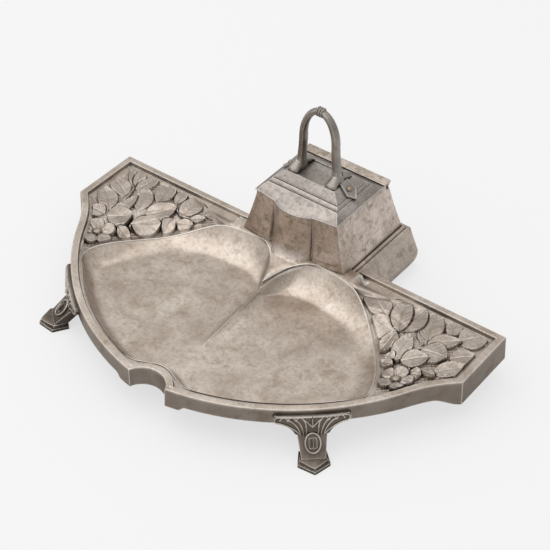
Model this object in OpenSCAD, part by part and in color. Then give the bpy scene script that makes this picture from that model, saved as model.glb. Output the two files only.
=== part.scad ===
// Desk inkstand: a fan-shaped pen tray with two shallow lobes and two leaf panels,
// a flared ink house with a hinged hipped lid, an arched handle and a glass liner.
// Millimetres. +X is to the right seen from the notch, +Y towards the ink house, +Z up.
// The pieces are drawn with y = 0 on the tray's rear edge and moved to the part's own
// origin, which is on the table below the middle of the whole object.

/* [Tray] */
// Width of the tray across the rim
tray_w = 302; // [270:1:330]
// Height of the rim above the table
rim_z = 31; // [29:0.5:33]
// Length of each straight side, from the rear edge to the cove
side_len = 49.5; // [44:0.5:54]
// Extra half width that the side gains from the rear edge to the cove
side_spread = 0.8; // [0:0.1:2]
// Radius of each of the two front arcs
arc_r = 164.7; // [162:0.1:168]
// How far the centre of each front arc lies across the middle line
arc_off = 15.9; // [14:0.1:18]
// How far the centres of the front arcs lie behind the rear edge
arc_back = 1.4; // [0:0.1:3]
// Distance from the rear edge to the end of the cove, where the front arc begins
cove_reach = 76; // [72:0.5:80]
// Depth of the cove's hollow
cove_hollow = 1.6; // [0:0.1:3]
// Radius of the notch in the middle of the front
notch_r = 15; // [12:0.5:17]
// How far the notch's centre lies in front of the point where the front arcs would meet
notch_proud = 4; // [3:0.1:5]
// Width of the flat rim
rim_w = 4.6; // [4:0.1:5.4]
// Run of the sloping face from the rim down to the leaf panel
rim_wall_run = 2.8; // [2:0.1:3.4]
// Thickness of the tray's metal
plate_t = 2; // [1.6:0.1:2.4]
// Gap between the tray and the edge of the plinth's top
seat_gap = 0.3; // [0.1:0.1:0.6]

/* [Skirt] */
// Depth of the skirt along the straight sides and the rear edge
skirt_deep = 18; // [16:0.5:20]
// Depth of the skirt where the cove meets the front arc
skirt_cove = 12.6; // [11:0.2:14]
// Depth of the skirt along the front arcs
skirt_low = 10.5; // [9.5:0.1:12]
// Depth of the skirt at the notch
skirt_notch = 13.8; // [12:0.2:15]
// How far the skirt leans outwards
skirt_flare = 0.4; // [0:0.1:1]

/* [Dish and panels] */
// Height of the dish floor above the table
dish_floor_z = 19; // [18:0.25:20]
// Height of the dish's rear crest, in front of the ink house
crest_z = 33; // [32:0.25:34]
// Height of the point where the lobes meet, at the rear of the dish
cusp_z = 26.5; // [25:0.25:28]
// Lowest height of the lip between the dish and a leaf panel
lip_low_z = 22; // [21:0.25:23]
// Height of the dish's front edge
front_edge_z = 29.3; // [28.5:0.1:30]
// Distance from the tray's outline to the dish's front edge
front_edge_in = 7; // [6.4:0.1:8]
// Height of the leaf panel's floor beside the rim
panel_floor_z = 28; // [27.5:0.1:28.5]
// Height of the plateau round the ink house
plateau_z = 33.25; // [33:0.25:34]
// Height of the tray's saddle against the ink house
saddle_z = 36; // [35:0.25:37]
// Height of a leaf over the panel floor
leaf_rise = 2.2; // [1.5:0.1:3]

/* [Plinth] */
// Ledge between the foot of the ink house and the edge of the plinth's top
plinth_ledge = 2.4; // [2.3:0.1:3]
// Run of the sloping shoulder round the plinth's top
shoulder_run = 2.2; // [1.8:0.1:2.8]
// Height of the sloping shoulder
shoulder_h = 2.2; // [1.5:0.1:3]
// How far the plinth's side walls lean outwards down to their widest line
side_lean = 5.6; // [4.6:0.1:6.4]
// How far the plinth's rear wall leans outwards
rear_lean = 2.4; // [1.5:0.1:3.5]
// Height of the plinth's widest line
belly_z = 12; // [10:0.5:14]
// How far the plinth's rounded underside draws in below the widest line
belly_in = 8; // [6:0.5:9]
// Radius of the plinth's rear corners
plinth_corner_r = 8; // [6:0.5:9]
// Thickness of the plinth's walls and top
plinth_t = 2.4; // [2:0.1:3]
// Distance from the tray's rear edge forward to the plinth's hidden front wall
plinth_front = 13; // [12.5:0.5:14]

/* [Ink house] */
// Width of the ink house at its mouth
house_w = 62; // [60:0.5:63]
// Distance from the tray's rear edge back to the rear wall at the mouth
house_rear = 43.8; // [43:0.2:45]
// Distance from the tray's rear edge forward to the front corners at the mouth
house_front = 12.2; // [11.6:0.2:12.8]
// Height of the mouth above the table
mouth_z = 66.5; // [64:0.5:69]
// How far the side walls flare outwards down to their foot
side_flare = 9.6; // [8:0.2:11]
// How far the rear wall flares outwards down to its foot
rear_flare = 5; // [4:0.2:6.6]
// Share of the flare that is a hollow curve; the rest is straight
flare_hollow = 0.25; // [0.1:0.05:0.5]
// Radius of the hollow flare of the front wall
front_flare_r = 150; // [135:5:180]
// Angle by which each front panel turns forward towards the middle
prow_angle = 8; // [7:0.5:9]
// Thickness of the walls
house_t = 2.2; // [1.8:0.1:2.6]
// Half the width of the bowed middle panel
bow_half_w = 14.6; // [13.6:0.2:15.6]
// How far the bowed panel stands forward of the tray's rear edge
bow_front = 19.3; // [18.9:0.1:19.8]
// Radius of the bow
bow_r = 24.6; // [22:0.2:28]
// How far the flared foot reaches forward of the bowed panel
bow_proud = 0.3; // [0.2:0.1:0.5]
// Radius of the grooves beside the bowed panel
groove_r = 0.8; // [0.5:0.1:1.1]
// Radius of the bead round the foot of the ink house
bead_r = 1.3; // [1:0.1:1.5]

/* [Glass liner] */
// Width of the glass liner's body
liner_w = 44; // [40:0.5:46]
// Radius of the liner's round ink well
well_r = 18; // [15:0.5:18.5]
// Thickness of the liner's base
liner_base_t = 5; // [4:0.5:7]
// Width by which the liner's flange overhangs its body
flange_over = 2.5; // [2:0.1:3]
// Thickness of the flange
flange_t = 2.5; // [2:0.1:3]
// Gap below the liner and all round its body
liner_gap = 0.5; // [0.3:0.1:0.8]
// Thickness of the collar that the flange rests on
collar_t = 2; // [1.5:0.1:2.5]
// Depth of the flange's top below the mouth
liner_drop = 2.5; // [2:0.1:4]

/* [Lid] */
// How far the lid's eave overhangs the mouth at the sides
eave_over = 1.2; // [0.8:0.1:1.6]
// Thickness of the eave
eave_t = 0.9; // [0.7:0.1:1.2]
// Height of the lid's lower slope
slope_h = 4; // [3.4:0.1:4.6]
// Run of the lower slope at the sides
slope_run = 5.4; // [5:0.1:5.8]
// Run of the lower slope at the front and rear
slope_run_y = 7.2; // [6.8:0.1:7.6]
// Height of the step above the lower slope
step_h = 2.8; // [2.2:0.1:3.4]
// Run of the step at the sides
step_run = 2.2; // [1.8:0.1:2.6]
// Run of the step at the front and rear
step_run_y = 3.1; // [2.7:0.1:3.5]
// Height of the lid's upper slope
crown_h = 5.1; // [4.4:0.1:5.8]
// Run of the upper slope at the sides
crown_run = 5.9; // [5.4:0.1:6.4]
// Run of the upper slope at the front and rear
crown_run_y = 5; // [4.6:0.1:5.4]
// Thickness of the lid's metal
lid_t = 1.6; // [1.2:0.1:2]
// Depth of the sunk field on the lid's flat top
field_d = 0.8; // [0.5:0.1:1]
// Depth, front to back, of the flange over the hinge
flange_d = 7.3; // [6.5:0.1:8]
// How far the flange reaches back past the hinge's axis
flange_past = 0.8; // [0.4:0.1:1.2]

/* [Hinge] */
// Outer radius of the hinge knuckles
knuckle_r = 2.1; // [1.9:0.05:2.3]
// Radius of the hinge pin
pin_r = 0.9; // [0.7:0.05:1.1]
// Radial clearance between the pin and the lid's knuckle
pin_gap = 0.05; // [0.03:0.01:0.08]
// Length of the lid's middle knuckle
lid_knuckle_l = 28; // [20:0.5:34]
// Gap between two knuckles
knuckle_gap = 0.3; // [0.2:0.05:0.5]
// Thickness of the hinge leaves
leaf_t = 1; // [0.8:0.1:1.2]
// Height of the fixed leaf on the rear wall
leaf_h = 11; // [9:0.5:13]

/* [Handle] */
// Height of the handle's middle line above the lid's flat top
arch_h = 47; // [42:0.5:52]
// Half the width of the arch at its foot, to the middle of the leg
arch_half_w = 14.6; // [13:0.2:15.4]
// Depth of the arch from front to back
bar_d = 5.2; // [4.6:0.1:6]
// Thickness of the arch at its top
bar_t = 4; // [3.6:0.1:4.6]
// Thickness that each leg gains at its foot
leg_gain = 2; // [1:0.1:2.6]
// Length of each toe along the lid
toe_l = 7; // [6:0.2:8]
// Radius of the tie round the top of the arch
tie_r = 3.4; // [3.2:0.1:4]
// Length of the tie
tie_l = 5; // [4:0.2:6.4]
// Radius of the shank of each handle rivet
rivet_r = 0.9; // [0.7:0.05:1.1]

/* [Front feet] */
// Direction of each foot, in degrees clockwise from +X
foot_angle = 48.4; // [46:0.2:50]
// Width of the sole
sole_w = 19.6; // [18:0.2:21]
// Distance from the tray's outline to the tip of the sole
toe_reach = 23; // [21:0.5:25]
// Distance from the tray's outline to the sole's outer corners
sole_reach = 16; // [15:0.5:17]
// Height of the sole
sole_h = 4.4; // [3.6:0.2:5]
// Width of the winged bracket against the skirt
wing_w = 46; // [42:0.5:50]
// Thickness of the bracket
wing_t = 3.2; // [2.8:0.1:4]
// Length of the oval medallion on the leg
medallion_l = 12.6; // [11:0.2:13.4]
// Width of the medallion
medallion_w = 9.6; // [8.4:0.2:10.4]

/* [Hidden] */
metal = [0.66, 0.63, 0.59];
dark_metal = [0.45, 0.42, 0.38];
glass_tint = [0.75, 0.86, 0.84];
eps = 0.01;
far = 400;

// ---- general functions ----
function lerp(a, b, t) = a + (b - a) * t;
function quad(a, b, c, t) = lerp(lerp(a, b, t), lerp(b, c, t), t);
function cubic(a, b, c, d, t) = lerp(quad(a, b, c, t), quad(b, c, d, t), t);
function clamp01(t) = min(1, max(0, t));
function unit(v) = v / norm(v);
// A closed loop from its right half, which runs from the rear middle to the front middle
function both_sides(half) = concat(
    half, [for (i = [len(half) - 2 : -1 : 1]) [-half[i][0], half[i][1]]]);
function left_of(a, b) = let(d = unit(b - a)) [-d[1], d[0]];
// A loop's point i moved outwards by d, with mitred corners
function moved_out(loop, i, d) = let(
    n = len(loop), p = loop[i],
    before = left_of(loop[(i + n - 1) % n], p), after = left_of(p, loop[(i + 1) % n]))
    p + d * (before + after) / (1 + before * after);

// ---- sizes that the tray, the plinth and the ink house share ----
plinth_top_z = rim_z;
house_h = mouth_z - plinth_top_z;
half_top_w = house_w / 2 + side_flare + plinth_ledge;
plinth_rear = house_rear + rear_flare + plinth_ledge;

// ---- stations: they run along the right half from the rear middle to the front middle ----
covered_s = 5;
crest_s = 8;
rear_s = 15;
side_s = 19;
cove_s = 23;
corner_s = 27;
notch_block_s = 39.6;
front_s = 41;
last_s = 46;
half_stations = concat([for (s = [0 : crest_s]) s],
                       [for (s = [crest_s + 0.5 : 0.5 : cove_s]) s],
                       [for (s = [cove_s + 1 : last_s]) s]);
half_n = len(half_stations) - 1;
loop_n = 2 * half_n;
function station(i) = half_stations[i <= half_n ? i : loop_n - i];
// How far s has come from one station to another, and the same with soft ends
function share(s, from, to) = clamp01((s - from) / (to - from));
function ramp(s, from, to) = let(t = share(s, from, to)) t * t * (3 - 2 * t);

// ---- tray outline ----
half_w = tray_w / 2;
arc_centre = [-arc_off, arc_back];
notch_reach = sqrt(arc_r * arc_r - arc_off * arc_off) - arc_back + notch_proud;
notch_centre = [0, -notch_reach];
function on_arc(r, angle) = arc_centre + r * [cos(angle), sin(angle)];
// Where a front arc meets the notch
centre_gap = norm(notch_centre - arc_centre);
along = (arc_r * arc_r - notch_r * notch_r + centre_gap * centre_gap) / (2 * centre_gap);
across = sqrt(arc_r * arc_r - along * along);
to_notch = unit(notch_centre - arc_centre);
notch_corner = arc_centre + along * to_notch + across * [-to_notch[1], to_notch[0]];
notch_turn = atan2(notch_corner[1] - arc_back, notch_corner[0] + arc_off);
notch_start = atan2(notch_corner[1] + notch_reach, notch_corner[0]);
cove_turn = -asin((cove_reach + arc_back) / arc_r);
dish_turn = -42.5;
side_top = half_w - side_spread;
side_end = [half_w, -side_len];
cove_end = on_arc(arc_r, cove_turn);
cove_mid = (side_end + cove_end) / 2 - 2 * cove_hollow * left_of(side_end, cove_end);
// The stretch of the rear edge that the plinth covers ends here
covered_x = half_top_w + shoulder_run + side_lean;
function rim_at(s) =
    s <= covered_s ? [covered_x * s / covered_s, 0]
    : s <= rear_s ? [lerp(covered_x, side_top, share(s, covered_s, rear_s)), 0]
    : s <= side_s ? lerp([side_top, 0], side_end, share(s, rear_s, side_s))
    : s <= cove_s ? quad(side_end, cove_mid, cove_end, share(s, side_s, cove_s))
    : s <= corner_s ? on_arc(arc_r, lerp(cove_turn, dish_turn, share(s, cove_s, corner_s)))
    : s <= front_s ? on_arc(arc_r, lerp(dish_turn, notch_turn, share(s, corner_s, front_s)))
    : let(a = lerp(notch_start, 90, share(s, front_s, last_s)))
        notch_centre + notch_r * [cos(a), sin(a)];
rim_loop = both_sides([for (s = half_stations) rim_at(s)]);
// The rim's points moved outwards by out; a straight stretch keeps its own corners
function index_of(s, i) = let(k = s <= crest_s ? s : 2 * s - crest_s) i <= half_n ? k : loop_n - k;
function on_straight(i, from, to, out) = lerp(
    moved_out(rim_loop, index_of(from, i), out), moved_out(rim_loop, index_of(to, i), out),
    share(station(i), from, to));
function rim_point(i, out) = let(s = station(i))
    s > covered_s && s < rear_s ? on_straight(i, covered_s, rear_s, out)
    : s > rear_s && s < side_s ? on_straight(i, rear_s, side_s, out)
    : moved_out(rim_loop, i, out);

// ---- the skirt ----
function skirt_depth(s) =
    lerp(lerp(skirt_deep, lerp(skirt_cove, skirt_low, share(s, cove_s, corner_s)),
              ramp(s, side_s, side_s + 2)),
         skirt_notch, share(s, notch_block_s - 0.3, notch_block_s + 0.3));
function skirt_point(i, back) = rim_point(i, skirt_flare - back);
skirt_ring = [for (i = [0 : loop_n - 1]) skirt_point(i, 0)];
front_y = min([for (p = skirt_ring) p[1]]);

// ---- the dish's lip ----
lip_cusp = [0, -50];
lip_saddle = [5.5, -27];
lip_inner = [14, -21.5];
lip_crest = [30, -15.5];
lip_outer = [49, -21];
lip_side_a = [68, -25];
lip_side_b = on_arc(arc_r - 29.1, -27.9);
lip_side_end = on_arc(arc_r - 10.3, -35.4);
lip_corner = on_arc(arc_r - 5.1, -37.6);
lip_r = arc_r - front_edge_in;
front_turn = notch_turn + 5.2;
lip_notch = on_arc(lip_r, front_turn);
lip_bite = [0, notch_r + front_edge_in - notch_reach];
function lip_at(s) =
    s <= covered_s ? quad(lip_cusp, lip_saddle, lip_inner, share(s, 0, covered_s))
    : s <= crest_s ? quad(lip_inner, lip_crest, lip_outer, share(s, covered_s, crest_s))
    : s <= cove_s ? cubic(lip_outer, lip_side_a, lip_side_b, lip_side_end, share(s, crest_s, cove_s))
    : s <= corner_s ? quad(lip_side_end, lip_corner, on_arc(lip_r, dish_turn),
                           share(s, cove_s, corner_s))
    : s <= front_s ? on_arc(lip_r, lerp(dish_turn, front_turn, share(s, corner_s, front_s)))
    : cubic(lip_notch, lip_notch + [-11, -3], lip_bite + [9, 0], lip_bite,
            share(s, front_s, last_s));
lip_loop = both_sides([for (s = half_stations) lip_at(s)]);
lip_end_z = front_edge_z - 2;
function lip_z(s) =
    s <= covered_s ? lerp(cusp_z, crest_z, sin(90 * s / covered_s))
    : s <= crest_s ? crest_z
    : s <= cove_s ? let(t = share(s, crest_s, cove_s))
        lerp(t < 0.5 ? crest_z : lip_end_z, lip_low_z, (1 - cos(360 * t)) / 2)
    : lerp(lip_end_z, front_edge_z, share(s, cove_s, corner_s));

// ---- the surface between the rim and the lip ----
groove_z = front_edge_z - 1.1;
// The leaf panel falls to the lip over this distance
fall_run = 25.2;
// The plateau round the ink house ends at this half width and drops over the next run
plateau_x = half_top_w + 5.5;
plateau_run = 4;
function foot_in(s) = rim_w + lerp(rim_wall_run, 0.6, ramp(s, cove_s, corner_s - 1));
foot_loop = [for (i = [0 : loop_n - 1]) rim_point(i, -foot_in(station(i)))];
outside_loop = [for (i = [0 : loop_n - 1])
    lip_loop[i] + (station(i) < corner_s ? 2 : 0.7) * unit(foot_loop[i] - lip_loop[i])];
function foot_z(s) =
    s <= covered_s ? rim_z : lerp(panel_floor_z, groove_z, share(s, cove_s, corner_s));
function outside_lip_z(s) =
    s <= covered_s ? lerp(lip_z(s), saddle_z, 0.35)
    : s <= crest_s ? lerp(crest_z, crest_z - 0.5, share(s, covered_s, crest_s))
    : s <= cove_s ? min(lip_z(s) - 0.8, panel_floor_z)
    : min(lip_z(s) - 0.6, groove_z + 0.4);
function plain_z(s, t, gap) =
    s <= covered_s ? lerp(saddle_z, outside_lip_z(s), t)
    : lerp(outside_lip_z(s), foot_z(s), ramp((1 - t) * gap, 0, fall_run));
// Height at share t of the way from the rim's foot to the lip's outer side
function between_z(i, t) = let(s = station(i), p = lerp(foot_loop[i], outside_loop[i], t),
        plain = plain_z(s, t, norm(foot_loop[i] - outside_loop[i])),
        plateau = lerp(saddle_z, plateau_z, ramp(abs(p[0]), plateau_x / 4, plateau_x * 0.7)))
    s <= covered_s ? lerp(plateau, plain, t)
    : lerp(plateau, plain, max(ramp(abs(p[0]), plateau_x, plateau_x + plateau_run),
                               share(s, crest_s, crest_s + 1)));

// ---- leaves in relief: each has its root, its tip and its width ----
leaves_right = [
    [[78, -24], [54, -11], 16], [[92, -33], [83, -7], 11], [[95, -33], [99, -9], 13],
    [[93, -36], [72, -33], 10], [[95, -37], [92, -55], 10], [[96, -37], [110, -47], 10],
    [[106, -55], [97, -51], 6], [[107, -60], [96, -58], 7], [[109, -53], [125, -46], 12],
    [[115, -34], [107, -4], 12], [[115, -36], [106, -24], 6], [[116, -38], [133, -44], 14],
    [[117, -30], [132, -23], 10], [[124, -19], [124, -4], 8], [[128, -22], [143, -5], 12],
    [[131, -33], [147, -28], 12], [[132, -54], [146, -36], 10], [[135, -57], [123, -55], 7]];
leaves_left = [
    [[127, -24], [148, -6], 11], [[127, -23], [134, -4], 10], [[128, -28], [149, -27], 14],
    [[125, -31], [135, -37], 8], [[126, -52], [151, -36], 14], [[123, -55], [116, -30], 11],
    [[121, -57], [106, -47], 20], [[105, -40], [118, -18], 13], [[125, -24], [117, -5], 10],
    [[104, -27], [108, -2], 15], [[89, -21], [94, -4], 7], [[99, -43], [87, -22], 15],
    [[80, -29], [77, -3], 15], [[65, -20], [54, -3], 9], [[102, -56], [84, -41], 14],
    [[107, -62], [90, -64], 8], [[80, -32], [82, -47], 10], [[78, -33], [61, -30], 8],
    [[122, -59], [139, -59], 12]];
function leaf_rise_at(leaf, p) = let(
    l = norm(leaf[1] - leaf[0]), way = (leaf[1] - leaf[0]) / l, d = p - leaf[0],
    u = (d * way) / l, v = abs(d[0] * way[1] - d[1] * way[0]),
    half = u <= 0 || u >= 1 ? 0 : leaf[2] / 2 * sin(180 * pow(u, 0.8)))
    v >= half ? 0 : leaf_rise * sqrt(1 - pow(v / half, 2));
function relief(p) = let(mirrored = [abs(p[0]), p[1]])
    max([for (leaf = p[0] > 0 ? leaves_right : leaves_left) leaf_rise_at(leaf, mirrored)]);
function panel_share(s, t) = s <= crest_s || s > corner_s - 2 ? 0 : clamp01(8 * t) * clamp01(8 * (1 - t));

// ---- heights inside the dish ----
dish_middle = [0, -75];
function wall_power(s) = s <= crest_s ? 13 : s <= cove_s ? lerp(13, 9, share(s, crest_s, cove_s)) : 7;
ridge_end = -108;
function ridge(p) = cusp_z <= dish_floor_z ? 0
    : (cusp_z - dish_floor_z - 1.5) * pow(clamp01((p[1] - ridge_end) / (lip_cusp[1] - ridge_end)), 0.8)
      * exp(-abs(p[0]) / 3);
function dish_z(i, t) = let(s = station(i), p = lerp(dish_middle, lip_loop[i], t))
    max(lerp(dish_floor_z, lip_z(s), pow(t, wall_power(s))), dish_floor_z + ridge(p));

// ---- rings of the tray's skin, from the middle of its top round to the middle below ----
function at_z(p, z) = [p[0], p[1], z];
function dish_ring(t, sunk) = [for (i = [0 : loop_n - 1])
    at_z(lerp(dish_middle, lip_loop[i], t), dish_z(i, t) - sunk)];
function panel_ring(t, sunk) = [for (i = [0 : loop_n - 1])
    let(p = lerp(foot_loop[i], outside_loop[i], t))
    at_z(p, between_z(i, t) - sunk + (sunk > 0 ? 0 : panel_share(station(i), t) * relief(p)))];
function outside_ring(sunk) = [for (i = [0 : loop_n - 1])
    at_z(outside_loop[i], outside_lip_z(station(i)) - sunk)];
function rim_ring(out, z) = [for (i = [0 : loop_n - 1]) at_z(rim_point(i, out), z)];
dish_steps = [0.15, 0.35, 0.55, 0.7, 0.8, 0.87, 0.92, 0.96, 0.985];
under_steps = [0.2, 0.5, 0.75, 0.88, 0.96];
panel_steps = 10;
under_panel_steps = 5;
tray_rings = concat(
    [for (t = dish_steps) dish_ring(t, 0)],
    [[for (i = [0 : loop_n - 1]) at_z(lip_loop[i], lip_z(station(i)))], outside_ring(0)],
    [for (k = [panel_steps - 1 : -1 : 1]) panel_ring(k / panel_steps, 0)],
    [[for (i = [0 : loop_n - 1]) at_z(foot_loop[i], foot_z(station(i)))],
     rim_ring(-rim_w, rim_z - 0.3), rim_ring(-rim_w + 0.6, rim_z), rim_ring(-0.7, rim_z),
     rim_ring(0, rim_z - 0.7),
     [for (i = [0 : loop_n - 1]) at_z(skirt_point(i, 0), rim_z - skirt_depth(station(i)))],
     [for (i = [0 : loop_n - 1]) at_z(skirt_point(i, plate_t), rim_z - skirt_depth(station(i)))],
     rim_ring(-plate_t, rim_z - plate_t),
     [for (i = [0 : loop_n - 1])
        at_z(rim_point(i, 0.4 - foot_in(station(i))), min(rim_z, foot_z(station(i))) - plate_t)]],
    [for (k = [1 : under_panel_steps - 1]) panel_ring(k / under_panel_steps, plate_t)],
    [outside_ring(plate_t)],
    [for (k = [len(under_steps) - 1 : -1 : 0]) dish_ring(under_steps[k], plate_t)]);
rings_n = len(tray_rings);
tray_points = concat(
    [for (r = tray_rings) for (p = r) p],
    [at_z(dish_middle, dish_floor_z + ridge(dish_middle)),
     at_z(dish_middle, dish_floor_z - plate_t)]);
top_middle = rings_n * loop_n;
tray_faces = concat(
    [for (i = [0 : loop_n - 1]) [top_middle, i, (i + 1) % loop_n]],
    [for (r = [0 : rings_n - 2]) for (i = [0 : loop_n - 1]) let(
        a = r * loop_n + i, a2 = r * loop_n + (i + 1) % loop_n, b = a + loop_n, b2 = a2 + loop_n)
        each [[a, b, b2], [a, b2, a2]]],
    [for (i = [0 : loop_n - 1]) let(last = (rings_n - 1) * loop_n)
        [top_middle + 1, last + (i + 1) % loop_n, last + i]]);

// ---- the blossom at the outer end of each leaf panel ----
petals_n = 5;
petal_l = 10;
petal_w = 9;
flower_right = [116.6, -67.4];
flower_left = [-117.4, -70.5];
flower_z = panel_floor_z - 0.9;

module petal(length, width, rise) {
    hull() {
        linear_extrude(0.6)
            polygon([for (i = [0 : 9]) let(a = 36 * i)
                [length / 2 * cos(a), width / 2 * sin(a) * (1 - 0.25 * cos(a))]]);
        translate([-length * 0.35, -0.3, 0]) cube([length * 0.75, 0.6, rise * 0.8]);
        translate([-length * 0.1, -width * 0.22, 0]) cube([length * 0.3, width * 0.44, rise]);
    }
}

module blossom(flower) {
    sunk = 1;
    for (k = [0 : petals_n - 1]) {
        translate([flower[0], flower[1], flower_z - sunk])
            rotate(360 * k / petals_n) translate([petal_l * 0.55, 0, 0])
                petal(petal_l, petal_w, leaf_rise + sunk);
    }
}

// ---- the plinth and the ink house ----
back_y = plinth_rear + shoulder_run + rear_lean;
shift_y = -(back_y + front_y) / 2;
module at_origin() { translate([0, shift_y, 0]) children(); }
// Sections are drawn with x outwards and y up, and stood up along one of these directions
module across_y() { rotate([90, 0, 0]) linear_extrude(far, center = true) children(); }
module across_x() { rotate([90, 0, 90]) linear_extrude(far, center = true) children(); }
module both_ways() {
    children();
    mirror([1, 0]) children();
}

belly_n = 6;
// Line of a plinth wall from the top over the shoulder and the belly to the table, t inside
function plinth_line(top, lean, t) = let(widest = top + shoulder_run + lean - t) concat(
    [[top - t, plinth_top_z - t], [top + shoulder_run - t, plinth_top_z - shoulder_h - t / 2]],
    [for (k = [0 : belly_n]) let(a = 90 * k / belly_n)
        [widest - belly_in * (1 - cos(a)), belly_z * (1 - sin(a))]],
    t == 0 ? [] : [[widest - belly_in, -1]]);
function mirrored(line) = [for (k = [len(line) - 1 : -1 : 0]) [-line[k][0], line[k][1]]];

// Plan of the plinth's widest line, with round rear corners
module plinth_plan(t) {
    half = half_top_w + shoulder_run + side_lean + 0.3 - t;
    rear = back_y + 0.3 - t;
    r = plinth_corner_r - t;
    translate([-half, -far / 2]) square([2 * half, far / 2 + rear - r]);
    translate([r - half, 0]) square([2 * (half - r), rear]);
    for (side = [-1, 1]) translate([side * (half - r), rear - r]) circle(r, $fn = 48);
}

module plinth_solid(t) {
    side = plinth_line(half_top_w, side_lean, t);
    rear = plinth_line(plinth_rear, rear_lean, t);
    intersection() {
        across_y() polygon(concat(side, mirrored(side)));
        across_x() polygon(concat(
            rear, [[t - plinth_front, rear[len(rear) - 1][1]], [t - plinth_front, plinth_top_z - t]]));
        translate([0, 0, -2]) linear_extrude(far) plinth_plan(t);
    }
}

module plinth() {
    color(metal) difference() {
        plinth_solid(0);
        plinth_solid(plinth_t);
    }
}

// Section of a wall that flares down from the mouth; t is how far inside the outer face it lies
flare_n = 6;
module flare_section(reach, flare, t) {
    over = t == 0 ? 0 : 1;
    function out(u) = reach - t + flare * u * (1 - flare_hollow + flare_hollow * u);
    polygon(concat(
        [[-1, mouth_z + over], [out(0), mouth_z + over]],
        [for (k = [over > 0 ? 0 : 1 : flare_n]) [out(k / flare_n), mouth_z - house_h * k / flare_n]],
        over > 0 ? [[out(1), plinth_top_z - over]] : [],
        [[-1, plinth_top_z - over]]));
}

module house_envelope(t) {
    intersection() {
        across_y() both_ways() flare_section(house_w / 2, side_flare, t);
        across_x() {
            flare_section(house_rear, rear_flare, t);
            translate([t - bow_front - bow_proud, plinth_top_z - 1]) square([bow_front, house_h + 2]);
        }
        translate([house_w / 2, -house_front, 0]) rotate(prow_angle)
            across_x() mirror([1, 0]) front_section(t);
        translate([-house_w / 2, -house_front, 0]) rotate(-prow_angle)
            across_x() mirror([1, 0]) front_section(t);
    }
}

module front_section(t) {
    difference() {
        translate([-far / 4, plinth_top_z - 1]) square([far / 4 + front_flare_r / 2, house_h + 2]);
        translate([front_flare_r, mouth_z]) circle(front_flare_r + t, $fn = 340);
    }
}

module house_bow(t) {
    over = t == 0 ? 0 : 1;
    intersection() {
        translate([0, bow_r - bow_front, plinth_top_z - over])
            cylinder(h = house_h + 2 * over, r = bow_r - t, $fn = 180);
        translate([t - bow_half_w, -far, 0]) cube([2 * (bow_half_w - t), far, far]);
    }
}

module house_solid(t) {
    house_envelope(t);
    house_bow(t);
}

hinge_z = mouth_z - knuckle_r;
hinge_y = house_rear + 0.4;
trough_gap = 0.1;
// Plan of the grooves: the side panels' plane at the bow's edge
groove_top_y = house_front + (house_w / 2 - bow_half_w) * tan(prow_angle);
front_drop = front_flare_r - sqrt(front_flare_r * front_flare_r - house_h * house_h);

module groove(side) {
    lean = atan(front_drop / house_h);
    translate([side * bow_half_w, -groove_top_y - 0.2, mouth_z]) rotate([180 - lean, 0, 0])
        translate([0, 0, -1]) cylinder(h = house_h * 0.85, r = groove_r, $fn = 32);
}

module ink_house() {
    color(metal) difference() {
        house_solid(0);
        house_solid(house_t);
        translate([-far / 2, hinge_y - knuckle_r - 1, hinge_z - knuckle_r - trough_gap])
            cube([far, far, far]);
        for (x = hinge_rivet_x) rivet_hole(x);
        for (side = [-1, 1]) groove(side);
    }
}

module base_moulding() {
    x = house_w / 2 + side_flare + bead_r / 2;
    y = house_rear + rear_flare + bead_r / 2;
    z = plinth_top_z + bead_r / 2;
    color(metal) difference() {
        union() {
            for (side = [-1, 1]) {
                translate([side * x, -plinth_front, z]) rotate([-90, 0, 0])
                    cylinder(h = y + plinth_front, r = bead_r, $fn = 48);
                translate([side * x, y, z]) sphere(bead_r, $fn = 48);
            }
            translate([-x, y, z]) rotate([0, 90, 0]) cylinder(h = 2 * x, r = bead_r, $fn = 48);
        }
        house_solid(0);
        translate([-far / 2, -far / 2, plinth_top_z - far]) cube(far);
    }
}

// ---- glass liner and its collar ----
liner_y = (house_rear - house_front) / 2;
flange_top_z = mouth_z - liner_drop;
collar_top_z = flange_top_z - flange_t;
liner_bottom_z = plinth_top_z + liner_gap;
corner_cut = 1.27;
module rounded_block(w, h) {
    intersection() {
        translate([-w / 2, -w / 2, 0]) cube([w, w, h]);
        cylinder(h = h, r = w / 2 * corner_cut, $fn = 120);
    }
}

module liner_collar() {
    color(dark_metal) difference() {
        intersection() {
            house_solid(house_t);
            translate([-far / 2, -far / 2, collar_top_z - collar_t]) cube([far, far, collar_t]);
        }
        translate([0, liner_y, collar_top_z - collar_t - 1])
            rounded_block(liner_w + 2 * liner_gap, collar_t + 2);
    }
}

module glass_liner() {
    color(glass_tint) translate([0, liner_y, 0]) difference() {
        union() {
            translate([0, 0, liner_bottom_z])
                rounded_block(liner_w, collar_top_z - liner_bottom_z + flange_t / 2);
            translate([0, 0, collar_top_z]) rounded_block(liner_w + 2 * flange_over, flange_t);
        }
        translate([0, 0, liner_bottom_z + liner_base_t]) cylinder(h = far, r = well_r, $fn = 120);
    }
}

// ---- hinge ----
knuckle_end = house_w / 2 - 0.5;
hinge_rivet_x = [-22, -9, 9, 22];
hinge_rivet_z = mouth_z - 10;
module rivet_hole(x) {
    translate([x, house_rear - far / 20, hinge_rivet_z]) rotate([-90, 0, 0])
        cylinder(h = far / 10, r = rivet_r, $fn = 32);
}

module knuckle(x0, x1, bore) {
    translate([x0, hinge_y, hinge_z]) rotate([0, 90, 0]) difference() {
        cylinder(h = x1 - x0, r = knuckle_r, $fn = 64);
        translate([0, 0, -1]) cylinder(h = x1 - x0 + 2, r = bore, $fn = 64);
    }
}

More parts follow.
